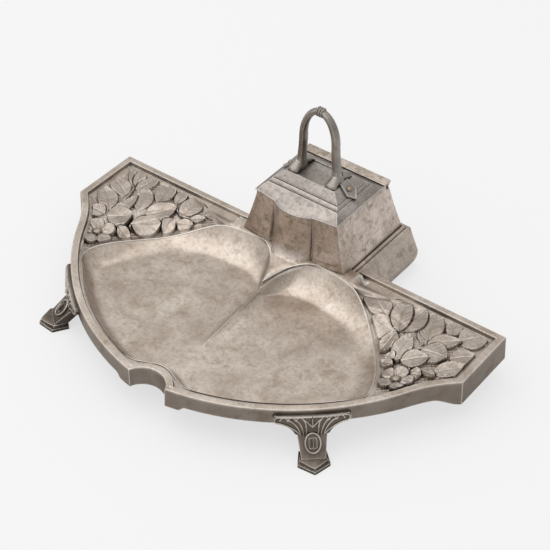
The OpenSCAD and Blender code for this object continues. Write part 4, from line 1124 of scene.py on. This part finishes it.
@dataclass
class InkLid:
    """The hipped lid: serpentine beaded eave, two slopes, a bead and a sunk field."""

    half_width: float = 32.2
    front: float = -13.4
    rear: float = 45.0
    hip_rear: float = 37.7
    bow_radius: float = 24.6
    bow_front: float = -20.5
    slope: Pair = (26.8, 18.35)
    step: Pair = (24.6, 15.25)
    crown: Pair = (18.7, 10.25)
    eave: Pairs = (
        (0.5, 66.5), (0.12, 66.58), (0.0, 66.85), (0.06, 67.15), (0.35, 67.38))
    eave_bead: Pairs = ((0.75, 67.4), (0.95, 67.15), (1.25, 67.45))
    band: Pairs = (
        (0.03, 71.05), (0.10, 71.0), (0.16, 71.55), (0.30, 72.35), (0.5, 72.9), (0.70, 73.3),
        (0.84, 73.55), (0.92, 73.35), (1.0, 73.4), (1.02, 74.0))
    hip_rise: float = 3.95
    crown_foot: float = 74.1
    crown_rise: float = 5.15
    inside: tuple[tuple[Pair, float], ...] = (
        ((2.0, 1.0), 77.7), ((17.4, 8.95), 77.7), ((22.7, 13.3), 72.6), ((28.2, 21.5), 66.6))
    field_edge: Pairs = (
        (0.25, 79.3), (1.25, 79.3), (1.5, 79.15), (1.65, 78.5), (4.0, 78.48))
    per_side: tuple[int, int, int, int] = (150, 24, 40, 24)

    @property
    def middle(self) -> float:
        """Returns the y of the hip's middle line."""
        return (self.front + self.hip_rear) / 2

    def front_line(self, x: Array) -> Array:
        """Returns the y of the eave's serpentine front edge at each x."""
        far = np.abs(x)
        plain = self.front + 0.3 - PANEL_SLOPE * (self.half_width - far)
        bow = self.bow_front + self.bow_radius - np.sqrt(
            np.clip(self.bow_radius ** 2 - x ** 2, 1.0, None))
        return np.minimum(lerp(bow, plain, ramp(far, 13.2, 15.5)), self.front + 0.3)

    def ring(self, half: Pair, z: float, bow: float = 0.0,
             rear: float | None = None) -> Array:
        """Lays out one ring.

        Args:
            half: Half width and half depth about the hip's middle.
            z: The ring's height.
            bow: How much of the serpentine the front follows, 0 to 1.
            rear: The y of the rear side when it isn't the half depth away.

        Returns:
            The ring's points.
        """
        n = self.per_side
        low = self.middle - half[1]
        high = self.middle + half[1] if rear is None else rear
        x = half[0] * np.linspace(-1, 1, n[0], endpoint=False)
        full = self.front_line(x / half[0] * self.half_width) - self.front
        front = np.column_stack([x, low + bow * full])
        right = straight((half[0], low), (half[0], high), n[1])
        back = straight((half[0], high), (-half[0], high), n[2])
        left = straight((-half[0], high), (-half[0], low), n[3])
        right[0, 1], left[0, 1] = low + bow * full[0], high
        return level(np.concatenate([front, right, back, left]), z)

    def build(self, material: Material) -> None:
        """Builds the hollow lid and dresses it."""
        outer = (self.half_width, self.hip_rear - self.middle)
        rings: list[Array] = []

        def inset(half: Pair, by: float) -> Pair:
            """Draws a half size in."""
            return (half[0] - by, half[1] - by)

        def between(a: Pair, b: Pair, share: float, z: float,
                    bow: float = 0.0) -> None:
            """Adds a ring whose half size lies between two others."""
            half = (lerp(a[0], b[0], share), lerp(a[1], b[1], share))
            rings.append(self.ring(half, z, bow))

        for half, z in self.inside:
            rings.append(self.ring(half, z))
        for by, z in self.eave:
            rings.append(self.ring(inset(outer, by), z, 1.0, self.rear - by))
        for by, z in self.eave_bead:
            rings.append(self.ring(inset(outer, by), z, 1.0))
        start, foot_z = inset(outer, self.eave_bead[-1][0]), self.eave_bead[-1][1]
        for t in map(float, np.linspace(0.12, 1.0, 9)):
            rise = t + 0.10 * math.sin(math.pi * t)
            between(start, self.slope, t, foot_z + self.hip_rise * rise, (1 - t) ** 1.5)
        for share, z in self.band:
            between(self.slope, self.step, share, z)
        for t in map(float, np.linspace(0.06, 1.0, 8)):
            between(inset(self.step, 0.1), self.crown, t,
                    self.crown_foot + self.crown_rise * t ** 0.94)
        for by, z in self.field_edge:
            rings.append(self.ring(inset(self.crown, by), z))
        rings.append(self.ring((2.0, 1.0), self.field_edge[-1][1]))
        piece = Piece.skin("ink_lid", rings)
        Piece.finish(piece, 28.0, Body.LID, Slot.LID, material, "lid")


@dataclass
class LidHandle:
    """The looped handle: a fluted arch on trumpet feet with toes, shields and a knot."""

    middle: float = 12.15
    crown: float = 79.3
    rise: float = 47.0
    half_width: float = 14.6
    spring: float = 0.56
    leg_in: float = 2.2
    slope: float = 40.84
    slope_x: float = 18.7
    shield_plan: Pairs = ((-1.5, -3.9), (7.4, -5.2), (12.9, 0.0), (7.4, 5.2), (-1.5, 3.9))
    shield_heart: Pair = (4.8, 0.0)
    shield_edge: Pairs = (
        (0.0, -0.3), (0.0, 1.1), (0.06, 1.45), (0.16, 1.5), (0.22, 1.1), (0.6, 1.0))
    toe_length: float = 10.2
    toe_rise: float = 3.4
    knot_half: float = 2.5
    knot_radius: float = 2.6
    knot_bulge: float = 0.6
    knot_pitch: float = 1.66
    steps: int = 44

    def arch(self) -> tuple[Array, Array]:
        """Returns the arch's middle line and how near each point is to a foot, 0 to 1."""
        t = np.linspace(0, 1, self.steps)
        turn = np.pi / 2 * (t - self.spring) / (1 - self.spring)
        leg = np.column_stack([self.half_width - self.leg_in * np.sin(np.pi / 2 * t / self.spring),
                               self.crown + self.rise * t])
        bow = np.column_stack([(self.half_width - self.leg_in) * np.cos(turn), self.crown
                               + self.rise * (self.spring + (1 - self.spring) * np.sin(turn))])
        half = np.where((t < self.spring)[:, None], leg, bow)
        line = np.concatenate([half, half[-2::-1] * (-1.0, 1.0)])
        low = np.concatenate([1 - t, (1 - t)[-2::-1]])
        return np.column_stack([line[:, 0], np.full(len(line), self.middle), line[:, 1]]), low

    def on_slope(self, side: int, points: Array) -> Array:
        """Carries points from a side slope's own plane to their place."""
        x, z = turned(points[:, 0], points[:, 2], -math.radians(self.slope))
        return np.column_stack([side * (self.slope_x + x), self.middle + points[:, 1],
                                self.crown + z])

    def shield(self, side: int) -> Object:
        """Builds one shield, framed by a thin raised edge."""
        plan = np.array(self.shield_plan)
        plan = np.concatenate([lerp(a, b, np.linspace(0, 1, 6, endpoint=False)[:, None])
                               for a, b in zip(plan, np.roll(plan, -1, axis=0))])
        heart = np.array(self.shield_heart)
        return Piece.skin("shield", [self.on_slope(side, level(lerp(plan, heart, by), z))
                                     for by, z in self.shield_edge])

    def toe(self, side: int, way: int) -> Object:
        """Builds one toe, which runs out from the foot of a leg."""
        t = np.linspace(0, 1, 14)
        path = np.column_stack([np.full(14, side * self.half_width),
                                self.middle + way * self.toe_length * t,
                                self.crown + self.toe_rise * (1 - t) ** 1.4 + 0.6])
        end = np.sqrt(np.clip(1 - ((t - 0.25) / 0.77) ** 14, 0.02, 1))
        wide = lerp(3.2, 4.1, t) * end
        deep = lerp(4.6, 1.5, t) * end
        return Piece.sweep("toe", path, wide, deep, np.array([1.0, 0.0, 0.0]), 14)

    def build(self, material: Material) -> None:
        """Builds the handle and its tie and dresses them."""
        path, low = self.arch()
        path[:, 1] -= 0.7 * ramp(low, 0.0, 0.5)
        foot = ramp(low, 0.78, 1.0)
        deep = 2.7 + 0.95 * ramp(low, 0.0, 0.5) + 1.9 * foot
        wide = 2.1 + 0.55 * low + 1.5 * foot
        parts = [Piece.sweep("arch", path, deep, wide, np.array([0.0, 1.0, 0.0]), 20, 0.13)]
        for side in (-1, 1):
            parts.append(self.shield(side))
            parts += [self.toe(side, way) for way in (-1, 1)]
        piece = Piece.join("lid_handle", parts)
        Piece.finish(piece, 40.0, Body.LID, Slot.HANDLE, material, "handle")
        x = np.linspace(-self.knot_half, self.knot_half, 31)
        bulge = np.abs(np.cos(np.pi * x / self.knot_pitch)) ** 0.6
        radii = (self.knot_radius + self.knot_bulge * bulge)[:, None]
        turn = np.arange(36) * math.radians(10.0)
        rings = [np.column_stack([np.full(36, a), self.middle + r * np.cos(turn),
                                  self.crown + self.rise + r * np.sin(turn)])
                 for a, r in zip(x, radii * (1 + 0.05 * np.cos(turn * 9)))]
        tie = Piece.skin("handle_knot", rings)
        Piece.finish(tie, 50.0, Body.LID, Slot.HANDLE, material, "handle_tie")


@dataclass
class FrontFoot:
    """A front foot: a winged bracket with ribs and scrolls over a stepped, pointed sole."""

    side: int
    angle: float = 48.4
    arc_radius: float = 164.7
    centre: Pair = (15.9, 1.4)
    ribs: tuple[float, ...] = (5.2, 10.0, 14.6)
    scroll: float = 2.05
    oval: Pair = (5.9, 4.5)
    oval_tilt: float = 46.0
    oval_out: float = 7.4
    oval_height: float = 10.8

    def place(self, points: Array) -> Array:
        """Carries points from the foot's own frame, x outwards from the tray, to their place."""
        x, y = turned(points[:, 0], points[:, 1], -math.radians(self.angle))
        return np.column_stack([self.side * (x - self.centre[0]), y + self.centre[1], points[:, 2]])

    def face(self, across: Array, z: Array, proud: float) -> Array:
        """Lays points on the bracket's outer face, which follows the tray's front arc."""
        lean = np.interp(z, [20.5, 30.0], [3.6, 1.92])
        radius = self.arc_radius + lean + proud
        return np.column_stack([np.sqrt(radius ** 2 - across ** 2), across, z])

    def rib(self, name: str, line: Array, radius: Array, flat: float = 1.0) -> Object:
        """Sweeps one rib along a line given in the foot's own frame."""
        path = self.place(line)
        out = self.place(np.array([[1.0, 0.0, 0.0]])) - self.place(np.zeros((1, 3)))
        return Piece.sweep(name, path, radius * flat, radius, out[0], 10)

    def palmette(self) -> list[Object]:
        """Builds the ribs that fan from the neck over the wings, and the scrolls."""
        t, size, curves = np.linspace(0, 1, 20), np.full(20, 0.48), []
        for across in self.ribs:
            curves += [((0.36 * across + 1.4, 13.6), (0.38 * across + 1.6, 18.0),
                        (0.66 * across, 24.6), (across, 25.6)),
                       ((across, 25.6), (across + 0.8, 28.4), (across + 3.4, 28.2),
                        (across + 4.5, 25.0))]
        curves += [((0.0, 20.6), (2.0, 22.6), (3.6, 25.4), (5.2, 25.6)),
                   ((20.0, 23.3), (13.5, 22.2), (8.2, 17.5), (6.8, 13.6))]
        turn = np.linspace(math.pi / 2, -math.pi / 2, 20)
        scroll = circle((20.1, 25.35), self.scroll, turn)
        lines = [*(bezier(curve, t) for curve in curves), scroll,
                 bezier([(0.3, 27.5), (20.1, 27.4)], t)]
        parts = [self.rib("rib", self.face(way * line[:, 0], line[:, 1], 0.25), size)
                 for line in lines for way in (-1, 1)]
        panel = self.face(np.zeros(2), np.array([22.9, 27.0]), 0.15)
        parts.append(self.rib("panel", panel, np.full(2, 0.6), 3.4))
        return parts

    def medallion(self) -> Object:
        """Builds the oval medallion's raised ring and the jewel in it."""
        turn = np.linspace(0, 2 * np.pi, 49)

        def on_oval(u: Array, v: Array, proud: float) -> Array:
            """Lays points on the leaning face of the oval, u downwards and v across."""
            x, z = turned(u, np.full(len(u), proud), -math.radians(self.oval_tilt))
            return np.column_stack([self.arc_radius + self.oval_out + x, v, self.oval_height + z])

        ring = on_oval(self.oval[0] * np.cos(turn), self.oval[1] * np.sin(turn), 0.9)
        jewel = on_oval(np.array([-2.5, 2.5]), np.zeros(2), 1.9)
        return Piece.join("medallion", [self.rib("ring", ring, np.full(49, 0.7)),
                                        self.rib("jewel", jewel, np.full(2, 0.45), 4.0)])

    def build(self, material: Material, rubbed_and_highlit: Material) -> None:
        """Builds the foot and dresses it, its raised lines in a lighter metal, rubbed bright and
        painted with a highlight.
        """
        name = "left" if self.side < 0 else "right"
        body = Piece.copy_of(f"front_foot_{name}", "body")
        Piece.soften(body, 0.4, 28.0)
        body.name = f"winged_foot_{name}"
        lines = Piece.join(f"foot_palmette_{name}", [*self.palmette(), self.medallion()])
        for piece, metal in ((body, material), (lines, rubbed_and_highlit)):
            Piece.finish(piece, 40.0, Body.ROOT, Slot.FOOT, metal, f"front_foot_{name}")


@dataclass
class Plinth:
    """The hollow plinth: a shoulder, leaning sides and a rounded belly."""

    half_top: float = 43.0
    rear_top: float = 51.2
    front: float = -13.0
    top: float = 31.0
    wall: float = 2.0
    shoulder: tuple[tuple[float, float, float, float], ...] = (
        (0.0, 0.0, 0.0, 1.6), (0.5, 0.5, 0.1, 1.7), (1.9, 1.9, 1.2, 2.0), (2.2, 2.2, 1.7, 2.2),
        (2.0, 2.0, 2.2, 2.2), (2.45, 2.3, 2.7, 2.4))
    centre_in: Pair = (-30.0, -45.0)
    belly: Pair = (7.8, 4.6)
    belly_height: float = 12.0
    belly_corner: float = 4.0
    corner_steps: int = 10

    def ring(self, grow_x: float, grow_y: float, z: float, corner: float) -> Array:
        """Lays out one ring: a rectangle with round rear corners.

        Args:
            grow_x: How far the sides lie outside the top's.
            grow_y: How far the rear lies behind the top's.
            z: The ring's height.
            corner: Radius of the rear corners.

        Returns:
            The ring's points.
        """
        x, y = self.half_top + grow_x, self.rear_top + grow_y
        turn = np.linspace(0, np.pi / 2, self.corner_steps)
        right = circle((x - corner, y - corner), corner, turn)
        left = right[::-1] * (-1.0, 1.0)
        side = straight((x, self.front), (x, y - corner), 8)
        back = side[::-1] * (-1.0, 1.0)
        ahead = straight((-x, self.front), (x, self.front), 12)[1:]
        return level(np.concatenate([side, right, left, back, ahead]), z)

    def build(self, material: Material) -> None:
        """Builds the plinth and dresses it."""
        outer = [(side, rear, self.top - down, corner)
                 for side, rear, down, corner in self.shoulder]
        *_, down, corner = self.shoulder[-1]
        for t in np.linspace(0.15, 1.0, 6):
            outer.append((2.3 + 5.5 * t, 2.3 + 2.3 * t, lerp(self.top - down, 12.6, t),
                          corner + 1.6 * t))
        for degrees in range(9, 91, 9):
            a = math.radians(degrees)
            inward = 7.9 * (1 - math.cos(a))
            outer.append((self.belly[0] - inward, self.belly[1] - inward,
                          self.belly_height * (1 - math.sin(a)), self.belly_corner))
        inner = [(a - self.wall, b - self.wall, max(z, 0.0), max(c - self.wall, 0.6))
                 for a, b, z, c in outer[:0:-1]]
        inner.append((-self.wall, -self.wall, self.top - self.wall, 0.6))
        ends = [(*self.centre_in, z, 1.0) for z in (self.top, self.top - self.wall)]
        rows = [ends[0], *outer, *inner, ends[1]]
        piece = Piece.skin("plinth_shell", [self.ring(*row) for row in rows])
        Piece.finish(piece, 35.0, Body.ROOT, Slot.HOUSE, material, "plinth")


@dataclass
class InkHouse:
    """The flared house on its plinth, its foot moulding, the lid's flange and the hinge."""

    half_mouth: float = 31.0
    side_flare: float = 9.6
    mouth: float = 66.5
    foot: float = 31.0
    corner_y: float = -12.2
    bow_radius: float = 24.6
    bow_front: float = 19.3
    bow_half: float = 14.6
    front_flare: float = 5.6
    kick: float = 4.2
    kick_top: float = 43.0
    sill: float = 37.2
    groove: float = 1.5
    sunk: float = 0.6
    inset: float = 0.35
    frame: float = 2.4
    across: int = 281
    up: int = 90

    def front(self) -> Object:
        """Builds the front's casting: the bow between two panels, parted by grooves."""
        z = np.linspace(self.mouth - 0.05, self.foot + 1.6, self.up)[:, None]
        share = (self.mouth - z) / (self.mouth - self.foot)
        flare = share * (0.75 + 0.25 * share)
        half = self.half_mouth + self.side_flare * flare
        x = np.linspace(-1, 1, self.across)[None, :] * (half - 0.02)
        far = np.abs(x)
        drop = self.front_flare * flare
        panel = self.corner_y - PANEL_SLOPE * (self.half_mouth - far) - drop
        bow = self.bow_radius - self.bow_front - np.sqrt(self.bow_radius ** 2 - np.clip(
            x, -20.0, 20.0) ** 2) - drop
        edge = self.bow_half + 1.6 * share
        y = lerp(np.minimum(bow, panel + 0.6), panel, ramp(far, edge - 0.5, edge + 0.3))
        low = ramp(z, 39.0, 35.5)
        kick = np.clip((self.kick_top - z) / 9.5, 0, 1) ** 2.6
        y = y - self.kick * kick * (1 - ramp(far, 10.0, edge - 0.4))
        y = y + self.groove * swell(far - edge, 0.75) * (1 - 0.6 * low)
        beside = half - self.frame - far
        inside = np.minimum(far - edge - 1.0, beside)
        sill = z - self.sill - 3.0 * np.clip(1 - beside / 4.0, 0, 1) ** 2
        sunk = ramp(np.minimum(inside, sill), 0.0, 0.9)
        y = y - self.sunk * sunk + self.inset
        shell = np.stack([x, np.broadcast_to(y, x.shape), np.broadcast_to(z, x.shape)], axis=-1)
        back = shell[:, ::-1].copy()
        back[..., 1] = np.maximum(back[..., 1] + 1.2, panel[:, ::-1] + 1.0)
        return Piece.skin("front", np.concatenate([shell, back], axis=1))

    def build(self, wall: Material, base: Material,
              hidden: Material) -> None:
        """Builds the house, and worn copies of the moulding, the flange and the hinge."""
        house = Piece.copy_of("ink_house", "walls")
        Piece.soften(house, 0.35)
        house = Piece.join("flared_house", [house, self.front()])
        Piece.finish(house, 35.0, Body.ROOT, Slot.HOUSE, wall, "ink_house")
        for node_name, name, slot, metal, width, body in (
                ("base_moulding", "foot_moulding", Slot.HOUSE, base, 0.2, Body.ROOT),
                ("lid_flange", "worn_lid_flange", Slot.LID, wall, 0.15, Body.LID),
                ("house_hinge_leaf", "worn_house_leaf", Slot.HIDDEN, hidden, 0.15, Body.ROOT),
                ("lid_hinge_leaf", "worn_lid_leaf", Slot.HIDDEN, hidden, 0.15, Body.LID)):
            piece = Piece.copy_of(node_name, name)
            Piece.soften(piece, width)
            Piece.finish(piece, 32.0, body, slot, metal, node_name)


@dataclass
class Studio:
    """The pale table, the room's light, the soft lamp and the camera."""

    eye: tuple[float, float, float] = (0.5586, -0.7700 + REAR_EDGE * MM, 0.8233)
    aim: tuple[float, float, float] = (0.01171, -0.04998 + REAR_EDGE * MM, 0.04282)
    lens: float = 125.95
    sensor: float = 36.0
    table: str = "#f7f7f7"
    table_m: float = 8.0
    table_glow: float = 0.72
    sheet: str = "#e4e4e4"
    level_side: float = 0.62
    level_above: float = 0.95
    lamp_at: tuple[float, float, float] = (-0.45, -0.30, 1.3)
    lamp_side: float = 1.7
    lamp_power: float = 9.0

    def floor(self) -> None:
        """Lays the table: pale, lit evenly to the eye, and keeping a soft shadow."""
        Piece.deselect()
        bpy.ops.mesh.primitive_plane_add(size=self.table_m, location=(0.0, 0.0, 0.0))
        plane = bpy.context.object
        plane.name = "table_top"
        material = bpy.data.materials.new("matt white paper sheet")
        tree = cleared(material)
        paper = node(tree, "ShaderNodeBsdfDiffuse", Color=hex_linear(self.sheet))
        glow = node(tree, "ShaderNodeEmission", Color=hex_linear(self.table), Strength=1.0)
        seen = node(tree, "ShaderNodeLightPath").outputs["Is Camera Ray"]
        share = node(tree, "ShaderNodeMath", {0: seen, 1: self.table_glow},
                     operation="MULTIPLY").outputs[0]
        mix = node(tree, "ShaderNodeMixShader", {0: share, 1: paper.outputs[0], 2: glow.outputs[0]})
        node(tree, "ShaderNodeOutputMaterial", Surface=mix.outputs[0])
        plane.data.materials.append(material)

    def air(self) -> None:
        """Fills the room with plain pale light, a little stronger overhead."""
        world = bpy.data.worlds.new("pale room")
        bpy.context.scene.world = world
        tree = cleared(world)
        way = node(tree, "ShaderNodeTexCoord").outputs["Generated"]
        up = node(tree, "ShaderNodeSeparateXYZ", Vector=way).outputs["Z"]
        strength = mapped(tree, up, 0.0, 0.9, self.level_side, self.level_above)
        light = node(tree, "ShaderNodeBackground", Color=(1.0, 1.0, 1.0, 1.0), Strength=strength)
        node(tree, "ShaderNodeOutputWorld", Surface=light.outputs[0])

    def lamp(self) -> None:
        """Hangs the soft square lamp that looks at the stand."""
        data = bpy.data.lights.new("overhead softbox", "AREA")
        data.shape, data.size, data.energy = "SQUARE", self.lamp_side, self.lamp_power
        self.aimed(bpy.data.objects.new("overhead softbox", data), self.lamp_at)

    def camera(self) -> None:
        """Sets up the camera."""
        data = bpy.data.cameras.new("camera")
        data.lens, data.sensor_width, data.sensor_fit = self.lens, self.sensor, "HORIZONTAL"
        data.clip_start, data.clip_end = 0.01, 50.0
        bpy.context.scene.camera = self.aimed(bpy.data.objects.new("camera", data), self.eye)

    def aimed(self, thing: Object, place: Sequence[float]) -> Object:
        """Puts a lamp or a camera in its place and turns it to the stand."""
        bpy.context.scene.collection.objects.link(thing)
        thing.location = place
        way = Vector(self.aim) - Vector(place)
        thing.rotation_euler = way.to_track_quat("-Z", "Y").to_euler()
        return thing

    def build(self) -> None:
        """Sets the whole stage."""
        self.floor()
        self.air()
        self.lamp()
        self.camera()
        bpy.context.scene.view_settings.view_transform = "Standard"


FINISHES = {
    "tray": SilverPlate("silver plate on pewter, polished and dulled", stained=0.5,
                        stain="#93826f", stain_mm=11.0, rubbed_and_highlit=0.85, edge_mm=1.1, painted_downward_shade=0.85),
    "border": SilverPlate("silver plate on pewter, cast leaf border", hollow_mm=2.6,
                          hollow_power=1.15, bright="#c4b9ae", worn="#a2958a", dull=0.4),
    "base": SilverPlate("silver plate on pewter, dull base", bright="#c6b9ae", worn="#a3968b",
                        stained=0.45, patina_and_shade_colour="#463e37"),
    "house": SilverPlate("silver plate on pewter, freckled with verdigris", bright="#dccfc6",
                         worn="#b8a89c", stained=0.72, stain="#7f7857", stain_mm=5.0),
    "hidden": SilverPlate("pewter, bare and oxidised", bright="#8d8478", worn="#6f665b",
                          rubbed_and_highlit=0.3, roughness=0.5, stained=0.5),
    "lid": SilverPlate("silver plate on pewter, tarnished lid", bright="#b6aea8", worn="#948c86",
                       stained=0.4, stain="#6b5e4c", stain_mm=3.0),
    "handle": SilverPlate("silver plate on pewter, worn handle", bright="#a9a39b", worn="#87807a"),
    "foot": SilverPlate("silver plate on pewter, cast foot", bright="#8b8178", worn="#60574f",
                        hollow_mm=3.0, hollow_power=1.3, painted_downward_shade=0.55, rubbed_and_highlit=0.9),
    # Lighter copy of the silver for the foot's raised lines: polish on the high spots and a painted
    # highlight.
    "rubbed_and_highlit": SilverPlate("silver plate rubbed bright on the high spots", bright="#cfc6bb",
                          worn="#a59b90", hollow_mm=1.0, hollow_power=0.5, dull=0.2),
    "rivet": SilverPlate("copper-toned rivet heads", bright="#b5a08c", worn="#8d7863"),
    "collar": SilverPlate("pewter collar", bright="#a69c90", worn="#857b70"),
    "glass": InkGlass(),
}


def dress(names: Sequence[str], material: Material) -> None:
    """Gives frame nodes a better finish on their own material slots."""
    for name in names:
        for place in frame["nodes"][name].material_slots:
            place.material = material
        log.info("%s: frame node in %s", name, material.name)


def main() -> None:
    """Builds the sub-assemblies in order."""
    logging.basicConfig(level=logging.INFO, format="%(message)s")
    Studio().build()
    metal = {key: finish.build() for key, finish in FINISHES.items()}
    form = TrayForm()
    TrayPlate(form).build(metal["tray"])
    for border in Border:
        LeafRelief(form, border).build(metal["border"])
    Plinth().build(metal["base"])
    InkHouse().build(metal["house"], metal["base"], metal["hidden"])
    InkLid().build(metal["lid"])
    LidHandle().build(metal["handle"])
    for side in (-1, 1):
        FrontFoot(side).build(metal["foot"], metal["rubbed_and_highlit"])
    dress(("handle_rivets", "hinge_rivets", "hinge_pin"), metal["rivet"])
    dress(("liner_collar",), metal["collar"])
    dress(("glass_liner",), metal["glass"])


if __name__ == "__main__":
    main()
